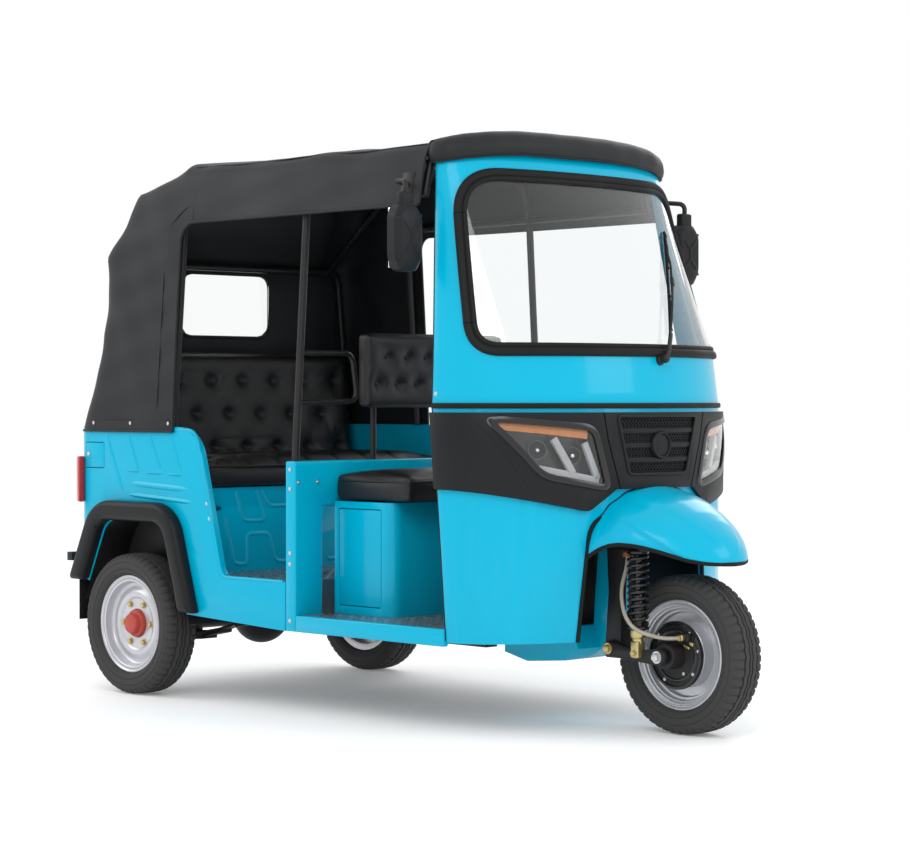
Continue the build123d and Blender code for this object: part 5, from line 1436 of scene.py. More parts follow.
@dataclass
class Seats:
    """The passenger bench and the driver's seat."""

    voxel: float = 0.0065
    swell: float = 0.010
    frames: int = 20
    cap: float = 0.022
    button: float = 0.0085
    piping: float = 0.0042

    def pads(self) -> tuple[Pad, ...]:
        """The four pads with their places.

        Returns:
            The pads.
        """
        pads = []
        low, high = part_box("bench_cushion")
        pads.append(Pad("bench_cushion_pad", "bench_cushion", self.size(low, high),
                        self.middle(low, high), Stitch.PLEATS, fill=0.6, pressure=1.2, rounds=8))
        low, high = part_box("bench_backrest")
        lean = math.atan2(0.050, high[2] - low[2])
        turn = Matrix.Rotation(math.pi / 2 - lean, 4, "Y")
        centre = Matrix.Translation(((low[0] + high[0]) / 2, 0.0, (low[2] + high[2]) / 2))
        wide = (-0.45, -0.3, -0.15, 0.0, 0.15, 0.3, 0.45)
        narrow = (-0.375, -0.225, -0.075, 0.075, 0.225, 0.375)
        pads.append(Pad("bench_backrest_pad", "bench_backrest",
                        (math.hypot(high[2] - low[2], 0.05), high[1] - low[1], 0.071), centre @ turn,
                        Stitch.BUTTONS, ((-0.135, wide), (-0.012, narrow), (0.110, wide)), 0.7))
        low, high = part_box("driver_cushion")
        pads.append(Pad("driver_cushion_pad", "driver_cushion", self.size(low, high),
                        self.middle(low, high), Stitch.PLAIN, fill=0.75, pressure=0.8, rounds=12))
        low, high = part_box("driver_backrest")
        turn = Matrix.Rotation(math.pi / 2, 4, "Y")
        buttons = ((-0.042, (-0.225, -0.135, -0.045, 0.045, 0.135, 0.225)),
                   (0.046, (-0.27, -0.18, -0.09, 0.0, 0.09, 0.18, 0.27)))
        pads.append(Pad("driver_backrest_pad", "driver_backrest",
                        (high[2] - low[2], high[1] - low[1], high[0] - low[0]),
                        self.middle(low, high) @ turn, Stitch.BUTTONS, buttons, 0.7, 0.013))
        return tuple(pads)

    def size(self, low: Sequence[float], high: Sequence[float]) -> Point:
        """The lengths of a box."""
        return (high[0] - low[0], high[1] - low[1], high[2] - low[2])

    def middle(self, low: Sequence[float], high: Sequence[float]) -> Matrix:
        """A move to a box's middle."""
        return Matrix.Translation(((low[0] + high[0]) / 2, (low[1] + high[1]) / 2, (low[2] + high[2]) / 2))

    def build(self) -> None:
        """Builds, fills and dresses every pad with its buttons and piping."""
        for pad in self.pads():
            piece = self.filled(pad)
            if pad.stitch is Stitch.PLEATS:
                self.pleat(piece, pad)
            piece.data.transform(pad.place)
            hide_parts(pad.node)
            dress(piece, HIDE, Body.CHASSIS, 60)
            trim = self.trim(pad)
            dress(trim, HIDE, Body.CHASSIS, 60)

    def filled(self, pad: Pad) -> bpy.types.Object:
        """A pad's cover, lying flat at the origin and filled from inside.

        Args:
            pad: The pad.

        Returns:
            The filled cover.
        """
        start = tuple(side - self.swell for side in pad.size)
        piece = brick(pad.name, start, (0, 0, 0), soft=0.012)
        modify(piece, "REMESH", mode="VOXEL", voxel_size=self.voxel)
        half = start[2] / 2
        spots = [(row, y) for row, places in pad.rows for y in places]
        held = []
        for corner in piece.data.vertices:
            if corner.co.z < 2 * self.voxel - half:
                held.append(corner.index)
            if corner.co.z > 0.3 * half and spots:
                near = min((corner.co.x - row) ** 2 + (corner.co.y - y) ** 2 for row, y in spots)
                corner.co.z -= pad.dent * math.exp(-near / 0.022 ** 2)
                if near < 0.008 ** 2:
                    held.append(corner.index)
        before = [corner.co.copy() for corner in piece.data.vertices]
        self.fill(piece, held, pad.pressure)
        for corner, old in zip(piece.data.vertices, before):
            move = corner.co - old
            if move.length > self.cap:
                corner.co = old + move * (self.cap / move.length)
        modify(piece, "SMOOTH", factor=0.5, iterations=pad.rounds)
        return piece

    def fill(self, piece: bpy.types.Object, held: Sequence[int], pressure: float) -> None:
        """Runs the cloth simulation on a cover and applies it.

        Args:
            piece: The cover.
            held: The corners that stay.
            pressure: The pressure inside the cover.
        """
        group = piece.vertex_groups.new(name="held")
        group.add(list(held), 1.0, "REPLACE")
        focus(piece)
        step = piece.modifiers.new("Cloth", "CLOTH")
        step.settings.vertex_group_mass = "held"
        step.settings.quality = 4
        step.settings.mass = 0.3
        step.settings.tension_stiffness = 12
        step.settings.compression_stiffness = 12
        step.settings.bending_stiffness = 0.6
        step.settings.use_pressure = True
        step.settings.uniform_pressure_force = pressure
        step.settings.effector_weights.gravity = 0.0
        step.collision_settings.use_collision = False
        step.point_cache.frame_start = 1
        step.point_cache.frame_end = self.frames
        for count in range(1, self.frames + 1):
            bpy.context.scene.frame_set(count)
        bpy.ops.object.modifier_apply(modifier=step.name)
        bpy.context.scene.frame_set(1)
        piece.vertex_groups.clear()

    def pleat(self, piece: bpy.types.Object, pad: Pad) -> None:
        """Presses sewn pleat lines into the top of a pad.

        Args:
            piece: The pad's cover.
            pad: The pad.
        """
        pitch = pad.size[1] / 8
        for corner in piece.data.vertices:
            if corner.co.z > 0:
                away = abs((corner.co.y / pitch) % 1.0 - 0.5) * pitch
                inside = max(0.0, 1 - (2 * corner.co.x / pad.size[0]) ** 6)
                line = 0.005 * math.exp(-(away / 0.006) ** 2)
                flank = 0.003 * math.exp(-(away / 0.02) ** 2)
                corner.co.z -= inside * (line + flank)

    def trim(self, pad: Pad) -> bpy.types.Object:
        """The piping round a pad's top edge, and its buttons.

        Args:
            pad: The pad.

        Returns:
            The joined trim.
        """
        half = (pad.size[0] / 2 - 0.006, pad.size[1] / 2 - 0.006)
        corners = ((-half[0], -half[1]), (half[0], -half[1]), (half[0], half[1]), (-half[0], half[1]))
        height = pad.size[2] / 2 - 0.024
        route = [(x, y, height) for x, y in rounded(corners, 0.03)]
        pieces = [tube(f"{pad.name}_piping", route, self.piping, closed=True)]
        seat = pad.size[2] / 2 - pad.dent - 0.005
        for row, places in pad.rows:
            for y in places:
                pieces.append(bolt(f"{pad.name}_button", self.button, (row, y, seat), (0, 0, 1)))
        piece = join(f"{pad.name}_trim", pieces)
        piece.data.transform(pad.place)
        return piece


# Canvas top


@dataclass(frozen=True)
class Station:
    """One section of the canvas: where it starts and which way it reaches."""

    start: tuple[float, float]
    way: tuple[float, float]
    reach: float
    corner: float
    crown: float


@dataclass
class CanvasTop:
    """The canvas sheet over its bows, with seams, hems, snaps and its rear window frame."""

    roof: float = 1.850
    eave: float = 1.618
    hem: float = 0.910
    front: float = 0.4602
    door: float = 0.248
    bend: float = 0.060
    thick: float = 0.004
    across: int = 96
    sag: float = 0.013
    profile: tuple[tuple[float, float], ...] = (
        (0.195, 1.850), (-0.076, 1.746), (-0.212, 1.512), (-0.214, 1.245), (-0.312, 0.925),
        (-0.318, 0.890),
    )
    halves: tuple[tuple[float, float], ...] = (
        (0.85, 0.6015), (0.925, 0.6000), (1.25, 0.5840), (1.56, 0.5640), (1.72, 0.5370), (1.86, 0.508),
    )

    def side_half(self, z: float) -> float:
        """The canvas's half width at a height.

        Args:
            z: The height.

        Returns:
            The half width.
        """
        for (low, first), (high, second) in zip(self.halves, self.halves[1:]):
            if z <= high:
                return first + (second - first) * (z - low) / (high - low)
        return self.halves[-1][1]

    def sagged(self) -> list[tuple[float, float]]:
        """The back's profile with a shallow sag between its bows.

        Returns:
            Fine points of the profile, measured from the rear axle.
        """
        points = []
        for first, second in zip(self.profile, self.profile[1:]):
            run = Vector(second) - Vector(first)
            inward = Vector((-run.y, run.x)).normalized()
            for part in range(24):
                share = part / 24
                depth = self.sag * min(1.0, run.length / 0.3) * (math.sin(math.pi * share) ** 0.8)
                place = Vector(first) + run * share + inward * depth
                points.append((place.x, place.y))
        points.append(self.profile[-1])
        return points

    def reach_to(self, start: tuple[float, float], way: tuple[float, float]) -> float:
        """How far the profile lies from a start along a way.

        Args:
            start: The start, as (ahead of the rear axle, height).
            way: The way, as a unit vector.

        Returns:
            The distance.
        """
        best = 0.0
        points = [(1.5, self.roof), *self.sagged()]
        for first, second in zip(points, points[1:]):
            run = (second[0] - first[0], second[1] - first[1])
            turn = way[0] * run[1] - way[1] * run[0]
            if abs(turn) < 1e-9:
                continue
            gap = (first[0] - start[0], first[1] - start[1])
            along = (gap[0] * run[1] - gap[1] * run[0]) / turn
            share = (gap[0] * way[1] - gap[1] * way[0]) / turn
            if along > 0 and -0.001 <= share <= 1.001:
                best = max(best, along)
        return best

    def stations(self) -> list[Station]:
        """The sections from the front edge over the top and down the back.

        Returns:
            The sections in order.
        """
        pivot = (self.door + self.bend, self.eave - self.bend)
        sections = []
        ahead = self.front - REAR_AXLE_X
        bows = (ahead, 0.8485, pivot[0])
        for part in range(40):
            share = part / 40
            x = ahead + (pivot[0] - ahead) * share
            gap = [(high, low) for high, low in zip(bows, bows[1:]) if low <= x <= high][0]
            slack = math.sin(math.pi * (x - gap[1]) / (gap[0] - gap[1])) ** 2
            lift = self.roof - pivot[1] - 0.006 * slack
            sections.append(Station((x, pivot[1]), (0.0, 1.0), lift, 0.060, 0.040))
        for part in range(44):
            angle = math.pi / 2 * (part / 44)
            way = (-math.sin(angle), math.cos(angle))
            corner = 0.060 + 0.015 * math.sin(angle)
            crown = 0.040 - 0.025 * math.sin(angle)
            sections.append(Station(pivot, way, self.reach_to(pivot, way), corner, crown))
        for part in range(49):
            z = pivot[1] + (self.hem - pivot[1]) * part / 48
            start = (pivot[0], z)
            way = (-1.0, 0.0)
            sections.append(Station(start, way, self.reach_to(start, way), 0.075, 0.015))
        return sections

    def section(self, station: Station) -> list[Point]:
        """The points of one section, from the right edge over to the left.

        Args:
            station: The section.

        Returns:
            Evenly spaced points.
        """
        wall = []
        for part in range(9):
            run = self.bend + (station.reach - station.crown - self.bend) * part / 8
            z = station.start[1] + run * station.way[1]
            wall.append((-self.side_half(z), run))
        half = -wall[-1][0]
        flat = [*wall, (-half * 0.55, station.reach - 0.25 * station.crown), (0.0, station.reach)]
        right = self.corner_cut(flat, 8, station.corner)
        whole = right + [(-y, run) for y, run in reversed(right[:-1])]
        x, z = station.start
        ahead, up = station.way
        return [(REAR_AXLE_X + x + run * ahead, y, z + run * up)
                for y, run in self.even(whole, self.across)]

    def corner_cut(self, points: Sequence[tuple[float, float]], index: int,
                   radius: float) -> list[tuple[float, float]]:
        """A run of points with one corner rounded.

        Args:
            points: The points.
            index: The corner's place among them.
            radius: How far from the corner the rounding starts.

        Returns:
            The run with the rounding in place of the corner.
        """
        here = Vector(points[index])
        back = Vector(points[0]) - here
        start = here + back.normalized() * min(radius, 0.7 * back.length)
        ahead = Vector(points[index + 1]) - here
        end = here + ahead.normalized() * min(radius, 0.8 * ahead.length)
        kept = [point for point in points[:index] if (Vector(point) - here).length > radius]
        arc = []
        for step in range(11):
            share = step / 10
            place = start * (1 - share) ** 2 + here * 2 * share * (1 - share) + end * share ** 2
            arc.append((place.x, place.y))
        return [*kept, *arc, *points[index + 1:]]

    def even(self, points: Sequence[tuple[float, float]], count: int) -> list[tuple[float, float]]:
        """A run of points spaced evenly.

        Args:
            points: The run.
            count: The number of points wanted.

        Returns:
            The evenly spaced points.
        """
        lengths = [0.0]
        for first, second in zip(points, points[1:]):
            lengths.append(lengths[-1] + math.dist(first, second))
        spaced = []
        index = 0
        for part in range(count):
            goal = lengths[-1] * part / (count - 1)
            while index < len(points) - 2 and lengths[index + 1] < goal:
                index += 1
            share = (goal - lengths[index]) / max(1e-9, lengths[index + 1] - lengths[index])
            first, second = points[index], points[index + 1]
            spaced.append((first[0] + share * (second[0] - first[0]),
                           first[1] + share * (second[1] - first[1])))
        return spaced

    def build(self) -> None:
        """Builds the sheet and everything sewn to it."""
        rows = [self.section(station) for station in self.stations()]
        sheet = grid_mesh("canopy_sheet", rows)
        with editing(sheet, "VERT"):
            face_out()
        self.crease(sheet)
        middle = sheet.data.polygons[len(sheet.data.polygons) // 4]
        outward = middle.normal.z > 0
        modify(sheet, "SOLIDIFY", thickness=self.thick, offset=-1.0 if outward else 1.0)
        window = self.window_cutter()
        modify(sheet, "BOOLEAN", operation="DIFFERENCE", object=window, solver="EXACT")
        bpy.data.objects.remove(window)
        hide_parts("canopy")
        dress(sheet, CANVAS, Body.CHASSIS, 50)
        sewn = self.sewn(rows)

    def crease(self, sheet: bpy.types.Object) -> None:
        """Moves the sheet a little for slack and creases.

        Args:
            sheet: The sheet before it gets its thickness.
        """
        for corner in sheet.data.vertices:
            x, y, z = corner.co
            ahead = x - REAR_AXLE_X
            slack = 0.0016 * math.sin(21 * ahead + 5 * y + 9 * z)
            slack += 0.0011 * math.sin(47 * z - 13 * ahead + 17 * y)
            pull = 0.0022 * math.sin(38 * (ahead + 0.45 * z)) * math.exp(-((z - 1.45) / 0.3) ** 2)
            corner.co += corner.normal * (slack + (pull if ahead < 0.3 else 0.0))

    def window_cutter(self) -> bpy.types.Object:
        """The block that opens the rear window.

        Returns:
            The block.
        """
        low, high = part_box("rear_window")
        size = (0.3, high[1] - low[1], high[2] - low[2])
        return brick("window_cutter", size, (low[0], 0.0, (low[2] + high[2]) / 2), soft=0.045)

    def sewn(self, rows: Sequence[Sequence[Point]]) -> list[bpy.types.Object]:
        """The hems, seams, window frame and snaps.

        Args:
            rows: The sheet's sections.

        Returns:
            The dressed pieces.
        """
        hems = [tube("canopy_front", rows[0], 0.0045), tube("canopy_foot", rows[-1], 0.0045)]
        for column in (0, self.across - 1):
            hems.append(tube("canopy_edge", [row[column] for row in rows], 0.0050))
        for column in (4, self.across - 5):
            hems.append(tube("canopy_band", [row[column] for row in rows[44:]], 0.0016))
        for column in (14, self.across - 15):
            hems.append(tube("canopy_ridge", [row[column] for row in rows[:47]], 0.0026))
        hems.append(tube("canopy_hem", rows[-4], 0.0016))
        low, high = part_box("rear_window")
        mid = (low[2] + high[2]) / 2
        half = (high[1] - low[1]) / 2 + 0.006, (high[2] - low[2]) / 2 + 0.006
        corners = ((-half[0], mid - half[1]), (half[0], mid - half[1]), (half[0], mid + half[1]),
                   (-half[0], mid + half[1]))
        frame_route = [(low[0] - 0.003, y, z) for y, z in rounded(corners, 0.056)]
        hems.append(tube("window_binding", frame_route, 0.006, closed=True))
        binding = join("canopy_binding", hems)
        dress(binding, CANVAS, Body.CHASSIS, 60)
        places = []
        line = rows[-3]
        for index in range(1, len(line), 9):
            here = Vector(line[index])
            out = Vector((-1.0, 0.0, 0.0))
            if abs(here.y) >= 0.5:
                out = Vector((0.0, math.copysign(1.0, here.y), 0.0))
            places.append((tuple(here + out * 0.001), tuple(out)))
        snaps = bolts("canopy_snaps", 0.0065, places)
        dress(snaps, ZINC, Body.CHASSIS)
        return [binding, snaps]


# Front suspension and steering


def turned_up(name: str, section: Sequence[tuple[float, float]], at: Point, out: Point = (0, 0, 1),
              steps: int = 32) -> bpy.types.Object:
    """A turned piece that stands on a point along a direction.

    Args:
        name: The object's name.
        section: Points of the section as (radius, along the direction).
        at: The foot of its axis.
        out: The direction of its axis.
        steps: The number of steps round.

    Returns:
        The turned piece.
    """
    piece = turned(name, section, (0, 0, 0), steps, closed=True)
    piece.data.transform(standing(at, out, "YZ"))
    return piece


@dataclass
class FrontSuspension:
    """The leading link with its sprung strut, brake plate fittings and braided hose."""

    strut: tuple[float, float] = (0.9985, -0.150)
    turns: float = 10.5
    coil: float = 0.0285
    wire: float = 0.0054
    low: float = 0.338
    high: float = 0.552
    hose: float = 0.012
    axle: float = 0.243
    route: tuple[Point, ...] = (
        (0.9495, -0.140, 0.5597), (0.9495, -0.140, 0.520), (0.9455, -0.175, 0.430),
        (1.0075, -0.206, 0.332), (1.0735, -0.140, 0.300), (1.1195, -0.120, 0.301),
        (1.1195, -0.0833, 0.301),
    )

    def build(self) -> None:
        """Builds the strut, the bolts, the brake fittings and the hose."""
        self.build_strut()
        self.build_bolts()
        self.build_hose()

    def build_strut(self) -> None:
        """Builds the coil spring, the damper and the zinc-plated yoke."""
        x, y = self.strut
        count = 28 * int(self.turns)
        helix = []
        for step in range(count + 1):
            angle = 2 * math.pi * self.turns * step / count
            height = self.low + (self.high - self.low) * step / count
            helix.append((x + self.coil * math.cos(angle), y + self.coil * math.sin(angle), height))
        spring = tube("strut_spring", helix, self.wire)
        dress(spring, GLOSS_BLACK, Body.STEERING, 60)
        rod = ((0.001, 0.0), (0.0175, 0.0), (0.0175, 0.125), (0.0150, 0.129), (0.0105, 0.130),
               (0.0105, 0.248), (0.001, 0.248))
        damper = turned_up("strut_damper", rod, (x, y, 0.305))
        seats = [turned_up("strut_seat", ((0.012, 0.0), (0.030, 0.0), (0.0345, 0.004), (0.0345, 0.009),
                                          (0.030, 0.012), (0.012, 0.012)), (x, y, 0.322)),
                 turned_up("strut_cap", ((0.012, 0.0), (0.026, 0.0), (0.0335, 0.006), (0.0335, 0.012),
                                         (0.012, 0.012)), (x, y, 0.5475))]
        damper = join("strut_damper", [damper, *seats])
        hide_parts("front_shock")
        dress(damper, GLOSS_BLACK, Body.STEERING)
        cup = turned_up("strut_yoke", ((0.001, 0.0), (0.0165, 0.0), (0.0165, 0.014), (0.0215, 0.019),
                                       (0.0230, 0.024), (0.0230, 0.040), (0.0205, 0.043),
                                       (0.001, 0.043)), (x, y, 0.280), steps=24)
        fork = brick("strut_fork", (0.030, 0.036, 0.052), (x, y - 0.001, 0.262), soft=0.005)
        with editing(fork):
            pick_faces(fork, lambda face: face.normal.z < -0.9)
            bpy.ops.transform.resize(value=(0.7, 1.0, 1.0))
        yoke = join("strut_yoke", [cup, fork])
        dress(yoke, YELLOW_ZINC, Body.STEERING)

    def build_bolts(self) -> None:
        """Builds the pivot, yoke and axle bolts and the small fittings on the brake plate."""
        side = (0.0, -1.0, 0.0)
        x, y = self.strut
        pins = [bolt("pivot_bolt", 0.0175, (0.8755, -0.1485, 0.256), side, domed=False),
                bolt("yoke_bolt", 0.0120, (x, y - 0.0190, 0.252), side, domed=False)]
        dress(join("link_bolts", pins), YELLOW_ZINC, Body.STEERING)
        nut = bolt("axle_nut", 0.0190, (FRONT_AXLE.x, -0.1485, self.axle), side, domed=False)
        dress(nut, ZINC, Body.STEERING)
        ring = []
        for angle, reach in ((12, 0.088), (52, 0.090), (-38, 0.086), (-60, 0.062), (140, 0.09),
                             (-120, 0.088)):
            turn = math.radians(angle)
            at = (FRONT_AXLE.x + reach * math.cos(turn), -0.0622, self.axle + reach * math.sin(turn))
            ring.append((at, side))
        dress(bolts("brake_plate_bolts", 0.0052, ring), ZINC, Body.STEERING)
        lean = (0, 0.35, 0)
        tabs = [brick("brake_adjuster", (0.024, 0.009, 0.008), (1.121, -0.066, 0.272), 0.0015, lean),
                brick("brake_stop", (0.016, 0.012, 0.010), (1.142, -0.067, 0.282), 0.0015, lean)]
        dress(join("brake_adjusters", tabs), YELLOW_ZINC, Body.STEERING)
        ribs = [turned_up("brake_plate_rib", ((0.070, 0.0), (0.074, 0.0035), (0.078, 0.0035), (0.082, 0.0)),
                          (FRONT_AXLE.x, -0.0618, self.axle), side, 64),
                turned_up("brake_plate_rim", ((0.094, 0.0), (0.096, 0.005), (0.102, 0.005), (0.1045, 0.0),
                                              (0.1045, -0.007), (0.094, -0.007)),
                          (FRONT_AXLE.x, -0.0620, self.axle), side, 64)]
        dress(join("brake_plate_ribs", ribs), GLOSS_BLACK, Body.STEERING, 40)

    def build_hose(self) -> None:
        """Builds the braided hose with its grommet and its banjo."""
        curve = bpy.data.curves.new("brake_hose_line", "CURVE")
        curve.dimensions = "3D"
        line = curve.splines.new("NURBS")
        line.points.add(len(self.route) - 1)
        for point, place in zip(line.points, self.route):
            point.co = (*place, 1.0)
        line.order_u = 3
        line.use_endpoint_u = True
        line.resolution_u = 16
        hose = placed("brake_hose_tube", curve)
        bare = bpy.data.meshes.new_from_object(hose)
        curve.bevel_depth = self.hose / 2
        curve.bevel_resolution = 5
        curve.use_fill_caps = True
        curve.materials.append(BRAID.material())
        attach(hose, Body.STEERING.value)
        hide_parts("brake_hose")
        banjo = turned_up("hose_banjo", ((0.001, 0.0), (0.0085, 0.0), (0.0105, 0.003), (0.0105, 0.014),
                                         (0.0080, 0.017), (0.0080, 0.022), (0.001, 0.022)),
                          (1.1195, -0.082, 0.301), (0, -1, 0), 20)
        dress(banjo, YELLOW_ZINC, Body.STEERING)
        grommet = turned_up("hose_grommet", ((0.0062, 0.0), (0.0150, 0.0), (0.0165, 0.004), (0.0165, 0.014),
                                             (0.0120, 0.018), (0.0062, 0.018)),
                            (0.9495, -0.140, 0.5400), steps=24)
        dress(grommet, RUST_RUBBER, Body.STEERING)


@dataclass
class Handlebar:
    """The steering bar with ribbed grips, levers and a gauge."""

    inner: Point = (0.6035, 0.215, 1.012)
    outer: Point = (0.5715, 0.335, 1.014)
    grip: float = 0.0176

    def build(self) -> None:
        """Builds the grips, the levers and the gauge."""
        grips = []
        levers = []
        for side in (-1, 1):
            start = Vector((self.inner[0], side * self.inner[1], self.inner[2]))
            end = Vector((self.outer[0], side * self.outer[1], self.outer[2]))
            way = (end - start).normalized()
            section = [(0.001, 0.0), (0.024, 0.0), (0.024, 0.006)]
            count = 14
            pitch = ((end - start).length - 0.010) / count
            for rib in range(count):
                low = 0.006 + rib * pitch
                section += [(self.grip, low + 0.2 * pitch), (self.grip + 0.0016, low + 0.4 * pitch),
                            (self.grip + 0.0016, low + 0.8 * pitch), (self.grip, low + pitch)]
            section += [(0.020, 0.006 + count * pitch), (0.001, 0.008 + count * pitch)]
            grips.append(turned_up("grip", section, tuple(start), tuple(way), 24))
            route = [tuple(start + Vector((0.045, 0, -0.004)) + way * -0.03),
                     tuple(start + Vector((0.055, 0, -0.006))),
                     tuple(start.lerp(end, 0.5) + Vector((0.048, 0, -0.010))),
                     tuple(end + Vector((0.030, 0, -0.012)))]
            levers.append(tube("lever", route, 0.0055, smooth=True))
            levers.append(brick("switch", (0.044, 0.036, 0.038), tuple(start - way * 0.02), 0.006))
        dress(join("handlebar_grips", grips), RUBBER, Body.STEERING)
        dress(join("handlebar_levers", levers), BLACK_PAINT, Body.STEERING)
        pod = turned_up("gauge_pod", ((0.001, 0.0), (0.050, 0.0), (0.056, 0.010), (0.056, 0.036),
                                      (0.052, 0.042), (0.047, 0.042), (0.047, 0.034), (0.001, 0.034)),
                        (0.735, 0.0, 1.016), (-0.75, 0.0, 0.66), 40)
        dress(pod, PLASTIC, Body.STEERING)


# Front trim: lamps, grille, band, fender and cab edges


def row_at(table: Sequence[tuple[float, float]], place: float) -> float:
    """The value of a table between its rows, held at its ends.

    Args:
        table: Rows of a place and its value, with falling places.
        place: The place.

    Returns:
        The value.
    """
    for (first, low), (second, high) in zip(table, table[1:]):
        if place >= second:
            break
    share = max(0.0, min(1.0, (place - first) / (second - first)))
    return low + (high - low) * share


@dataclass
class FrontTrim:
    """Lamp interiors, bezels, grille mesh, badge and rubber edges of the nose."""

    lamp: tuple[tuple[float, float], ...] = (
        (-0.546, 0.962), (-0.262, 0.934), (-0.208, 0.748), (-0.415, 0.788),
    )
    grille: tuple[tuple[float, float], ...] = (
        (-0.182, 0.968), (-0.132, 0.790), (0.132, 0.790), (0.182, 0.968),
    )
    band: float = 0.016
    mesh_rows: int = 4
    fender_tip: float = -0.184
    fender_back: float = 0.240
    fender_half: tuple[tuple[float, float], ...] = (
        (0.240, 0.288), (0.165, 0.279), (0.090, 0.262), (0.040, 0.242), (0.0, 0.222), (-0.060, 0.186),
        (-0.100, 0.155), (-0.130, 0.124), (-0.152, 0.097), (-0.166, 0.074), (-0.176, 0.050),
        (-0.181, 0.028), (-0.184, 0.006),
    )
    fender_crest: tuple[tuple[float, float], ...] = (
        (0.240, 0.770), (0.165, 0.757), (0.090, 0.738), (0.040, 0.721), (0.0, 0.704), (-0.060, 0.671),
        (-0.100, 0.643), (-0.130, 0.618), (-0.152, 0.597), (-0.166, 0.579), (-0.176, 0.560),
        (-0.181, 0.544), (-0.184, 0.529),
    )
    fender_foot: tuple[tuple[float, float], ...] = (
        (0.240, 0.505), (0.175, 0.540), (0.150, 0.557), (0.128, 0.569), (0.100, 0.579), (0.070, 0.583),
        (0.035, 0.581), (0.0, 0.575), (-0.045, 0.562), (-0.080, 0.549), (-0.110, 0.538),
        (-0.145, 0.529), (-0.184, 0.525),
    )

    def build(self) -> None:
        """Builds all the trim of the nose."""
        for side in (-1, 1):
            self.build_lamp(side)
        self.build_grille()
        self.build_edges()

    def lamp_place(self, across: float, down: float, side: int) -> tuple[float, float]:
        """A place on a lamp's face.

        Args:
            across: From 0 at the outer end to 1 at the inner end.
            down: From 0 at the top to 1 at the foot.
            side: -1 for the right lamp, 1 for the left.

        Returns:
            The place as (y, z).
        """
        top = Vector(self.lamp[0]).lerp(Vector(self.lamp[1]), across)
        foot = Vector(self.lamp[3]).lerp(Vector(self.lamp[2]), across)
        place = top.lerp(foot, down)
        return (-side * place.x, place.y)

    def bar(self, name: str, ends: Sequence[tuple[float, float]], side: int, sink: float, width: float,
            height: float) -> bpy.types.Object:
        """A straight bar inside a lamp.

        Args:
            name: The object's name.
            ends: Its two ends as (across, down).
            side: The lamp's side.
            sink: How far its foot lies under the nose's skin.
            width: Its width.
            height: Its height.

        Returns:
            The bar.
        """
        route = on_cab([self.lamp_place(*end, side) for end in ends], -sink, 0.015, closed=False)
        return strip(name, route, cab_ups(route), width, height, soft=0.002)

    def build_lamp(self, side: int) -> None:
        """Builds one lamp's bezel with a grey line round it as a painted highlight, light bars, amber strip
        and reflectors.

        Args:
            side: -1 for the right lamp, 1 for the left.
        """
        end = "right" if side < 0 else "left"
        outline = [(-side * y, z) for y, z in rounded(self.lamp, 0.036)]
        route = on_cab(outline, self.band - 0.002)
        ups = cab_ups(route)
        bezel = strip(f"lamp_bezel_{end}", route, ups, 0.020, 0.0055, closed=True, soft=0.0030)
        dress(bezel, GLOSS_BLACK, Body.CHASSIS)
        # A thin grey line just outside the bezel: a painted highlight of its outer edge
        wide = Vector((sum(y for y, _ in outline), sum(z for _, z in outline))) / len(outline)
        rim = [tuple(wide + (Vector(place) - wide) * 1.06) for place in outline]
        edge = on_cab(rim, self.band - 0.002)
        line = strip(f"lamp_highlight_line_{end}", edge, cab_ups(edge), 0.0055, 0.0042, closed=True, soft=0.0015)
        dress(line, PAINTED_HIGHLIGHT_GREY, Body.CHASSIS)
        bars = [self.bar("light_foot", ((0.07, 0.85), (0.93, 0.89)), side, 0.012, 0.020, 0.014),
                self.bar("light_mid", ((0.53, 0.26), (0.56, 0.84)), side, 0.012, 0.022, 0.015),
                self.bar("light_end", ((0.88, 0.27), (0.92, 0.86)), side, 0.012, 0.020, 0.015)]
        dress(join(f"light_bars_{end}", bars), LIGHT_BAR, Body.CHASSIS)
        amber = self.bar(f"turn_strip_{end}", ((0.06, 0.115), (0.93, 0.135)), side, 0.006, 0.026, 0.011)
        dress(amber, AMBER, Body.CHASSIS)
        cups = []
        lights = []
        for across, down, radius in ((0.30, 0.50, 0.027), (0.70, 0.52, 0.024)):
            y, z = self.lamp_place(across, down, side)
            at = Vector(cab_point(y, z, -0.026))
            out = Vector(cab_ups([tuple(at)])[0]).normalized()
            cup = ((0.005, -0.012), (0.6 * radius, -0.008), (0.9 * radius, 0.006), (radius, 0.018),
                   (1.08 * radius, 0.018), (radius, -0.010), (0.005, -0.016))
            cups.append(turned_up("reflector", cup, tuple(at), tuple(out)))
            bulb = ((0.0006, 0.024), (0.006, 0.022), (0.0095, 0.014), (0.0095, 0.004), (0.006, -0.010),
                    (0.0006, -0.010))
            lights.append(turned_up("bulb", bulb, tuple(at), tuple(out), 16))
        dress(join(f"reflectors_{end}", cups), DARK_CHROME, Body.CHASSIS, 60)
        dress(join(f"bulbs_{end}", lights), CHROME, Body.CHASSIS, 60)

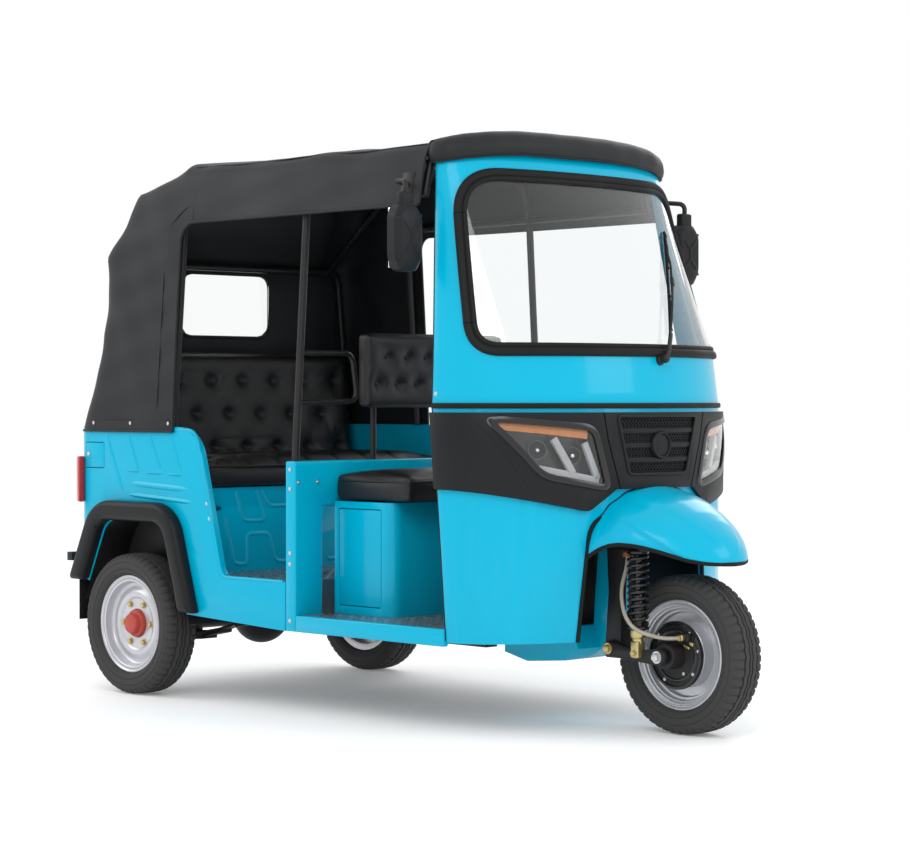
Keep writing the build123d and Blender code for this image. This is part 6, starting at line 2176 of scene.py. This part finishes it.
    def build_grille(self) -> None:
        """Builds the grille's border, mesh rows, blank badge and the band's split lines."""
        route = on_cab(rounded(self.grille, 0.016), self.band - 0.003)
        border = strip("grille_border", route, cab_ups(route), 0.010, 0.0065, closed=True, soft=0.0025)
        dress(border, PLASTIC, Body.CHASSIS)
        low, high = self.grille[1][1], self.grille[0][1]
        rows = self.mesh_rows
        cross = [brick("mesh_rib", (0.003, 0.0030, 0.024), (0, 0, 0), 0.0, (angle, 0, 0))
                 for angle in (0.62, -0.62)]
        unit = join("mesh_unit", cross)
        copies = []
        for row in range(rows):
            z = low + (high - low) * (row + 0.5) / rows
            half = 0.132 + 0.050 * (row + 0.5) / rows - 0.014
            count = int(2 * half / 0.0135)
            for index in range(count + 1):
                y = -half + 2 * half * index / count
                for lift in (-0.0085, 0.0085):
                    if math.hypot(y, z + lift - (low + high) / 2) > 0.044:
                        place = Matrix.Translation(cab_point(y, z + lift, 0.0085))
                        copies.append(copy_of(unit, "mesh_copy", place))
        bpy.data.objects.remove(unit)
        dress(join("grille_mesh", copies), PLASTIC, Body.CHASSIS)
        at = cab_point(0.0, (low + high) / 2, 0.0145)
        disc = ((0.001, 0.0045), (0.031, 0.0050), (0.034, 0.0040), (0.0355, 0.0085), (0.0405, 0.0090),
                (0.0435, 0.0050), (0.0435, -0.004), (0.001, -0.004))
        badge = turned_up("grille_badge", disc, at, (1, 0, 0), 64)
        dress(badge, PLASTIC, Body.CHASSIS, 40)
        splits = []
        for side in (-1, 1):
            ends = ((side * 0.232, 0.979), (side * 0.216, 0.900), (side * 0.166, 0.748))
            line = on_cab(ends, self.band - 0.0004, closed=False)
            splits.append(strip("band_split", line, cab_ups(line), 0.0040, 0.0008, soft=0.0))
        dress(join("band_splits", splits), GAP_BLACK, Body.CHASSIS)

    def fender_at(self, back: float, angle: float) -> Point:
        """A point of the fender's skin.

        Args:
            back: How far behind the front axle.
            angle: The angle round its section, from 0 at the right foot to pi at the left.

        Returns:
            The point.
        """
        half, crest, foot = (row_at(table, back) for table in
                             (self.fender_half, self.fender_crest, self.fender_foot))
        flank = min(angle, math.pi - angle)
        fold = math.radians(4.0 + 40.0 * max(0.0, (back + 0.10) / 0.27))
        soft = math.radians(5.0)
        tuck = 0.010 * max(0.0, min(1.0, (fold - flank) / soft + 0.5)) * min(1.0, half / 0.06)
        deck = 0.006 * max(0.0, min(1.0, (flank - math.radians(58.0)) / soft + 0.5))
        rise = (crest - foot) * math.sin(angle)
        return (FRONT_AXLE.x - back, -(half - tuck) * math.cos(angle),
                foot + rise + deck * min(1.0, half / 0.10))

    def build_fender(self) -> list[bpy.types.Object]:
        """Builds the front fender up to the nose's skin.

        Returns:
            The rubber edges along its rim and along the nose.
        """
        columns = 72
        rows: list[list[Point]] = [[] for _ in range(49)]
        for column in range(columns + 1):
            angle = math.pi * column / columns
            near, far = self.fender_tip, self.fender_back
            for _ in range(30):
                middle = (near + far) / 2
                x, y, z = self.fender_at(middle, angle)
                if x > cab_point(y, z, 0.0006)[0]:
                    near = middle
                else:
                    far = middle
            for part, row in enumerate(rows):
                share = 1 - (1 - part / (len(rows) - 1)) ** 1.5
                row.append(self.fender_at(near + (self.fender_tip - near) * share, angle))
        fender = grid_mesh("front_fender_skin", rows)
        face_up(fender)
        modify(fender, "SMOOTH", factor=0.5, iterations=1)
        modify(fender, "SOLIDIFY", thickness=0.005, offset=-1.0)
        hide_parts("front_fender")
        dress(fender, PAINT, Body.CHASSIS, 30)
        rim = [row[0] for row in rows] + [row[-1] for row in reversed(rows)]
        return [tube("fender_edge", rim, 0.0062), tube("fender_seam", rows[0], 0.0026)]

    def build_edges(self) -> None:
        """Builds the fender, its rubber edges, the wheel opening's and the cab's rear edges."""
        rubber = self.build_fender()
        arch = rounded(((-0.295, 0.285), (-0.258, 0.665), (0.258, 0.665), (0.295, 0.285)), 0.07,
                       closed=False)
        rubber.append(tube("arch_edge", on_cab(arch, 0.0015, 0.02, closed=False), 0.0065))
        dress(join("nose_edges", rubber), RUBBER, Body.CHASSIS, 60)
        seams = []
        for side in (-1, 1):
            route = []
            for part in range(49):
                z = 0.292 + (1.700 - 0.292) * part / 48
                level = cab_level(z)
                route.append((level.edge - 0.001, side * (level.half - 0.006), z))
            seams.append(tube("cab_edge", route, 0.0065))
        dress(join("cab_edges", seams), RUBBER, Body.CHASSIS, 60)
        places = []
        for side in (-1, 1):
            for z in (0.966, 1.036):
                level = cab_level(z)
                at = (level.edge + 0.014, side * (level.half - 0.0008), z)
                places.append((at, (0.12, float(side), 0.0)))
        dress(bolts("cab_edge_bolts", 0.0070, places), ZINC, Body.CHASSIS)
        creases = []
        for side in (-1, 1):
            ends = ((side * 0.566, 0.958), (side * 0.452, 0.752))
            line = on_cab(ends, self.band - 0.0006, closed=False)
            creases.append(strip("band_crease", line, cab_ups(line), 0.0045, 0.0016, soft=0.0007))
        dress(join("band_creases", creases), PLASTIC, Body.CHASSIS)


# Fittings of the body


@dataclass
class Fittings:
    """Bolts, rolled edges, floor studs, mirrors, the padded roll and the tail."""

    stud: float = 0.028
    bench_front: float = -0.6165
    bench_lines: tuple[tuple[tuple[float, float], ...], ...] = (
        ((0.389, 0.708), (0.359, 0.602), (0.261, 0.600), (0.297, 0.708)),
        ((0.283, 0.708), (0.243, 0.650), (0.020, 0.650)),
        ((0.437, 0.615), (0.398, 0.455), (0.337, 0.453), (0.341, 0.558), (0.243, 0.556), (0.212, 0.456),
         (0.030, 0.456)),
    )
    rail: tuple[tuple[float, float], ...] = (
        (0.548, 1.170), (0.325, 1.172), (0.300, 1.014), (0.558, 1.008),
    )
    roll_drop: float = 0.030
    roll_front: tuple[tuple[float, float], ...] = (
        (-0.010, 1.780), (0.004, 1.775), (0.014, 1.778), (0.021, 1.788), (0.024, 1.804), (0.021, 1.821),
        (0.012, 1.837), (-0.002, 1.848), (-0.022, 1.855),
    )
    roll_top: tuple[tuple[float, float], ...] = (
        (0.25, 1.860), (0.5, 1.863), (0.75, 1.862), (1.0, 1.848),
    )
    ridges: tuple[tuple[tuple[float, float], tuple[float, float], float], ...] = (
        ((-1.081, 0.900), (-0.983, 0.695), 0.022), ((-0.954, 0.900), (-0.896, 0.775), 0.018),
        ((-0.962, 0.773), (-0.890, 0.772), 0.012), ((-0.834, 0.900), (-0.769, 0.773), 0.018),
        ((-0.855, 0.768), (-0.763, 0.767), 0.012), ((-0.717, 0.898), (-0.657, 0.768), 0.018),
        ((-0.733, 0.765), (-0.655, 0.764), 0.012), ((-0.945, 0.729), (-0.622, 0.714), 0.026),
        ((-0.952, 0.690), (-0.600, 0.672), 0.020),
    )

    def build(self) -> None:
        """Builds the fittings."""
        self.build_bolts()
        self.build_edges()
        self.build_bench()
        self.build_studs()
        self.build_mirrors()
        self.build_roll()
        self.build_tail()

    def build_bolts(self) -> None:
        """Builds the domed bolts on the partition, the quarters and the bench."""
        places: list[tuple[Point, Point]] = []
        for side in (-1, 1):
            out = (0.0, float(side), 0.0)
            for z in (0.306, 0.489, 0.524, 0.731, 0.793):
                places.append(((-0.098, side * (BODY_HALF + 0.0002), z), out))
            for x, z in ((-0.5225, 0.671), (-0.5090, 0.621)):
                places.append(((x, side * (BODY_HALF + 0.0002), z), out))
            for y in (0.498, 0.580):
                places.append(((-0.0733, side * y, 0.752), (1.0, 0.0, 0.0)))
        dress(bolts("body_bolts", 0.0068, places), ZINC, Body.CHASSIS)
        lock = bolt("flap_lock", 0.0085, (-1.182, -BODY_HALF - 0.0002, 0.826), (0.0, -1.0, 0.0))
        dress(lock, ZINC, Body.FUEL_FLAP)

    def bead(self, start: tuple[float, float], end: tuple[float, float], side: int, width: float,
             height: float) -> bpy.types.Object:
        """A pressed ridge with faded ends on a side panel.

        Args:
            start: Its first end as (x, z).
            end: Its other end.
            side: -1 on the right, 1 on the left.
            width: Its width.
            height: How far it stands out.

        Returns:
            The ridge.
        """
        way = Vector(end) - Vector(start)
        across = Vector((-way.y, way.x)).normalized()
        rows = []
        for part in range(25):
            share = part / 24
            fade = 1 - (2 * share - 1) ** 8
            row = []
            for step in range(-6, 7):
                out = step / 6
                place = Vector(start) + way * share + across * (out * width / 2 * (0.4 + 0.6 * fade))
                lift = height * fade * (math.cos(math.pi * out) + 1) / 2 - 0.0003
                row.append((place.x, side * (BODY_HALF + lift), place.y))
            rows.append(row)
        ridge = grid_mesh("quarter_bead", rows)
        if ridge.data.polygons[0].normal.y * side < 0:
            flip(ridge)
        return ridge

    def build_edges(self) -> None:
        """Builds the rolled lips, the pressed ridges and the arch liners of the quarters."""
        lips = []
        liners = []
        for side in (-1, 1):
            upper = ((-0.690, 0.916), (-0.5845, 0.916), (-0.512, 0.650))
            lower = ((-0.512, 0.650), (-0.4520, 0.4300), (-0.135, 0.4300))
            line = rounded(upper, 0.098, 10, closed=False)
            line += rounded(lower, 0.034, 10, closed=False)[1:]
            route = [(x, side * (BODY_HALF - 0.0035), z) for x, z in line]
            lips.append(tube("quarter_lip", route, 0.0060))
            for start, end, width in self.ridges:
                lips.append(self.bead(start, end, side, width, 0.0048))
            corners = ((-1.2365, 0.265), (-1.0765, 0.597), (-0.7265, 0.597), (-0.6195, 0.262))
            arch = [(x, 0.0, z) for x, z in rounded(corners, 0.06, closed=False)]
            depths = (0.5905, 0.560, 0.520, 0.480, 0.440)
            rows = [[(x, side * y, z) for x, _, z in fine(arch, 0.03)] for y in depths]
            liners.append(grid_mesh("arch_liner", rows))
        dress(join("quarter_lips", lips), PAINT, Body.CHASSIS, 60)
        dress(join("arch_liners", liners), BLACK_PAINT, Body.CHASSIS, 40)

    def build_bench(self) -> None:
        """Builds the bench's pressed lines and the rails beside the driver's backrest."""
        profile = ((-0.0085, -0.0005), (-0.0055, 0.0018), (-0.0022, 0.0038), (0.0, 0.0042),
                   (0.0022, 0.0038), (0.0055, 0.0018), (0.0085, -0.0005))
        beads = []
        rails = []
        low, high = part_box("backrest_posts")
        post = (low[0] + high[0]) / 2
        for side in (-1, 1):
            for line in self.bench_lines:
                flat = rounded([(side * y, z) for y, z in line], 0.022, 5, closed=False)
                route = [(self.bench_front, y, z) for y, z in flat]
                beads.append(sweep("bench_bead", route, [(1.0, 0.0, 0.0)] * len(route), profile))
            flat = rounded([(side * y, z) for y, z in self.rail], 0.040, 8, closed=False)
            rails.append(tube("grab_rail", [(post, y, z) for y, z in flat], 0.0085))
        dress(join("bench_beads", beads), PAINT, Body.CHASSIS, 60)
        dress(join("grab_rails", rails), BLACK_PAINT, Body.CHASSIS, 60)

    def build_studs(self) -> None:
        """Builds the raised studs of the chequered floors."""
        points: list[Point] = []
        faces: list[tuple[int, ...]] = []
        seat_low, seat_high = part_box("seat_box")
        for name in ("driver_floor", "passenger_floor"):
            low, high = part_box(name)
            across = int((high[1] - low[1] - 0.02) / self.stud)
            along = int((high[0] - low[0] - 0.02) / self.stud)
            for row in range(along):
                for column in range(across):
                    x = low[0] + 0.02 + row * self.stud
                    y = low[1] + 0.02 + column * self.stud
                    beside = seat_low[0] - 0.01 < x < seat_high[0] + 0.01
                    hidden = beside and abs(y) < seat_high[1] + 0.01
                    if hidden or (abs(y) > 0.53 and x > 0.59):
                        continue
                    turn = math.radians(45 if (row + column) % 2 else -45)
                    way = Vector((math.cos(turn), math.sin(turn), 0.0))
                    cross = Vector((-way.y, way.x, 0.0))
                    foot = Vector((x, y, high[2]))
                    start = len(points)
                    for reach, width, lift in ((-0.014, 0.0, 0.0), (0.0, 0.0045, 0.0), (0.014, 0.0, 0.0),
                                               (0.0, -0.0045, 0.0), (0.0, 0.0, 0.0020)):
                        place = foot + way * reach + cross * width + Vector((0, 0, lift))
                        points.append(tuple(place))
                    faces += [(start, start + 3, start + 4), (start + 3, start + 2, start + 4),
                              (start + 2, start + 1, start + 4), (start + 1, start, start + 4)]
        mesh = bpy.data.meshes.new("floor_studs")
        mesh.from_pydata(points, [], faces)
        studs = placed("floor_studs", mesh)
        with editing(studs):
            face_out()
        dress(studs, STUD, Body.CHASSIS, 20)

    def build_mirrors(self) -> None:
        """Builds the eight-sided mirror shells with crossed ridges, their necks and the glass."""
        low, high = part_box("mirror_shells")
        face = high[0]
        z = (low[2] + high[2]) / 2
        shape = ((-0.030, 0.102), (0.030, 0.102), (0.056, 0.072), (0.056, -0.062), (0.034, -0.102),
                 (-0.034, -0.102), (-0.056, -0.062), (-0.056, 0.072))
        shells = []
        glass = []
        for side in (-1, 1):
            y = side * (high[1] - 0.056)
            outline = rounded(shape, 0.016, 4)
            rows = []
            for depth, grow in ((low[0], 0.002), (low[0], 0.93), (low[0] + 0.004, 1.0),
                                (face - 0.016, 1.0), (face - 0.004, 0.86), (face, 0.76), (face, 0.002)):
                rows.append([(depth, y + grow * out, z + grow * up) for out, up in outline])
            shell = grid_mesh("mirror_shell", rows, wrap=True)
            with editing(shell, "VERT"):
                face_out(0.0008)
            shells.append(shell)
            for up, reach in ((1, 0.070), (-1, -0.066)):
                for out in (-1, 1):
                    ridge = ((face - 0.001, y, z + up * 0.016),
                             (face - 0.001, y + out * 0.028, z + 0.66 * reach),
                             (face - 0.010, y + out * 0.050, z + reach))
                    shells.append(tube("mirror_ridge", ridge, 0.0042))
            spine = ((face - 0.001, y, z - 0.016), (face - 0.001, y, z + 0.016))
            shells.append(tube("mirror_spine", spine, 0.0042))
            at = (face - 0.028, y, high[2] + 0.012)
            shells.append(brick("mirror_neck", (0.030, 0.052, 0.050), at, 0.008))
            pane = brick("mirror_face", (0.003, 0.092, 0.182), (low[0] - 0.0005, y, z), 0.0)
            with editing(pane, "EDGE"):
                bpy.ops.mesh.select_all(action="SELECT")
                bpy.ops.mesh.bevel(offset=0.0012, segments=2)
            glass.append(pane)
        shells = join("mirror_forms", shells)
        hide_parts("mirror_shells")
        dress(shells, PLASTIC, Body.CHASSIS, 30)
        dress(join("mirror_glass", glass), MIRROR, Body.CHASSIS)

    def build_roll(self) -> None:
        """Builds the padded roll over the windscreen, which laps the canvas behind it."""
        rows = []
        for part in range(97):
            angle = math.radians(-96 + 192 * part / 96)
            x, y = math.cos(angle), math.sin(angle)
            foot = Vector((HEADER.edge + CAB_RUN + HEADER.reach * x, HEADER.half * y))
            out = Vector((x / HEADER.reach, y / HEADER.half)).normalized()
            rear = Vector((0.432, 0.985 * foot.y))
            puff = 0.0012 * math.sin(9 * angle) + 0.0008 * math.sin(23 * angle + 1.0)
            far = abs(foot.y) / HEADER.half
            drop = self.roll_drop * far ** 4
            row = []
            for reach, height in self.roll_front:
                place = foot + out * (reach + puff * max(0.0, 50 * reach))
                row.append((place.x, place.y, height - drop + 0.4 * puff))
            inner = foot - out * 0.022
            for share, height in self.roll_top:
                place = inner.lerp(rear, share)
                row.append((place.x, place.y, height - drop - 0.014 * far ** 2))
            row.append((rear.x, rear.y, 1.800 - drop))
            under = rear.lerp(foot, 0.6)
            row.append((under.x, under.y, 1.790 - drop))
            rows.append(row)
        roll = grid_mesh("roof_roll", rows, wrap=True)
        with editing(roll, "VERT"):
            fill_open()
            face_out()
        piping = tube("roof_roll_piping", [row[2] for row in rows], 0.0032)
        roll = join("roof_roll", [roll, piping])
        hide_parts("roof_visor")
        dress(roll, CANVAS, Body.CHASSIS, 60)

    def build_tail(self) -> None:
        """Builds the tail panel's pressed ribs, lamp rims and the plate bracket."""
        low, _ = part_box("tail_panel")
        ribs = []
        for z in (0.54, 0.60, 0.86):
            route = [(low[0] + 0.001, -0.42 + 0.84 * part / 20, z) for part in range(21)]
            ribs.append(strip("tail_rib", route, [(-1.0, 0.0, 0.0)] * 21, 0.020, 0.006, soft=0.0028))
        dress(join("tail_ribs", ribs), PAINT, Body.CHASSIS)
        plate = brick("plate_bracket", (0.006, 0.36, 0.17), (low[0] - 0.003, 0.0, 0.725), 0.0025)
        with editing(plate):
            pick_faces(plate, lambda face: face.normal.x < -0.9)
            bpy.ops.mesh.inset(thickness=0.012, depth=-0.002)
        dress(plate, PLASTIC, Body.CHASSIS)
        low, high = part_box("tail_lamps")
        rims = []
        for side in (-1, 1):
            for z in (low[2] + 0.054, low[2] + 0.108):
                at = (low[0] + 0.0155, side * (high[1] - 0.075), z)
                rims.append(brick("lamp_divide", (0.030, 0.062, 0.005), at, 0.001))
        dress(join("tail_lamp_divides", rims), BLACK_PAINT, Body.CHASSIS)


# Studio: camera, lights and floor


@dataclass
class Studio:
    """The camera at the photograph's angle, soft light and a pale floor."""

    eye: Point = (6.0037, -5.8455, 1.0208)
    pitch: float = -0.6
    heading: float = 45.5
    lens: float = 98.87
    sensor: float = 36.0
    floor_half: float = 40.0
    sky: float = 1.0

    def build(self) -> None:
        """Sets the camera, the lights, the sky and the floor."""
        view = bpy.data.cameras.new("photo_camera")
        view.lens = self.lens
        view.sensor_width = self.sensor
        view.sensor_fit = "HORIZONTAL"
        view.clip_end = 200.0
        camera = placed("photo_camera", view)
        camera.location = self.eye
        camera.rotation_euler = (math.radians(90 + self.pitch), 0.0, math.radians(self.heading))
        bpy.context.scene.camera = camera
        self.lamp("key", (3.5, -4.5, 4.6), (0.2, -0.2, 0.8), 3.2, 110.0)
        self.lamp("nose", (5.5, 2.0, 3.4), (0.6, 0.0, 0.8), 2.6, 60.0)
        self.lamp("rear", (-4.5, -3.5, 3.8), (-0.6, 0.0, 0.8), 3.0, 70.0)
        self.lamp("far", (-2.0, 5.0, 4.0), (-0.2, 0.0, 0.8), 3.0, 70.0)
        bpy.context.scene.view_settings.view_transform = "Standard"
        world = bpy.data.worlds.new("pale_sky")
        world.use_nodes = True
        set_inputs(world.node_tree.nodes["Background"],
                   {"Color": (1.0, 1.0, 1.0, 1.0), "Strength": self.sky})
        bpy.context.scene.world = world
        clear_selection()
        bpy.ops.mesh.primitive_plane_add(size=2 * self.floor_half, location=(0, 0, 0))
        floor = bpy.context.object
        floor.name = "studio_floor"
        floor.data.materials.append(FLOOR.material())

    def lamp(self, name: str, at: Point, to: Point, size: float, power: float) -> None:
        """Adds one soft square lamp.

        Args:
            name: The lamp's name.
            at: Where it hangs.
            to: The point that it faces.
            size: The length of its side.
            power: Its power in watts.
        """
        light = bpy.data.lights.new(name, "AREA")
        light.size = size
        light.energy = power
        lamp = placed(name, light)
        lamp.location = at
        lamp.rotation_euler = (Vector(to) - Vector(at)).to_track_quat("-Z", "Y").to_euler()


def main() -> None:
    """Builds and dresses every sub-assembly in order."""
    logging.basicConfig(level=logging.INFO, format="%(name)s %(message)s")
    clear_selection()
    Bodywork().build()
    Windscreen().build()
    Wheels().build()
    FrontSuspension().build()
    Handlebar().build()
    FrontTrim().build()
    Fittings().build()
    Seats().build()
    CanvasTop().build()
    Studio().build()


if __name__ == "__main__":
    main()
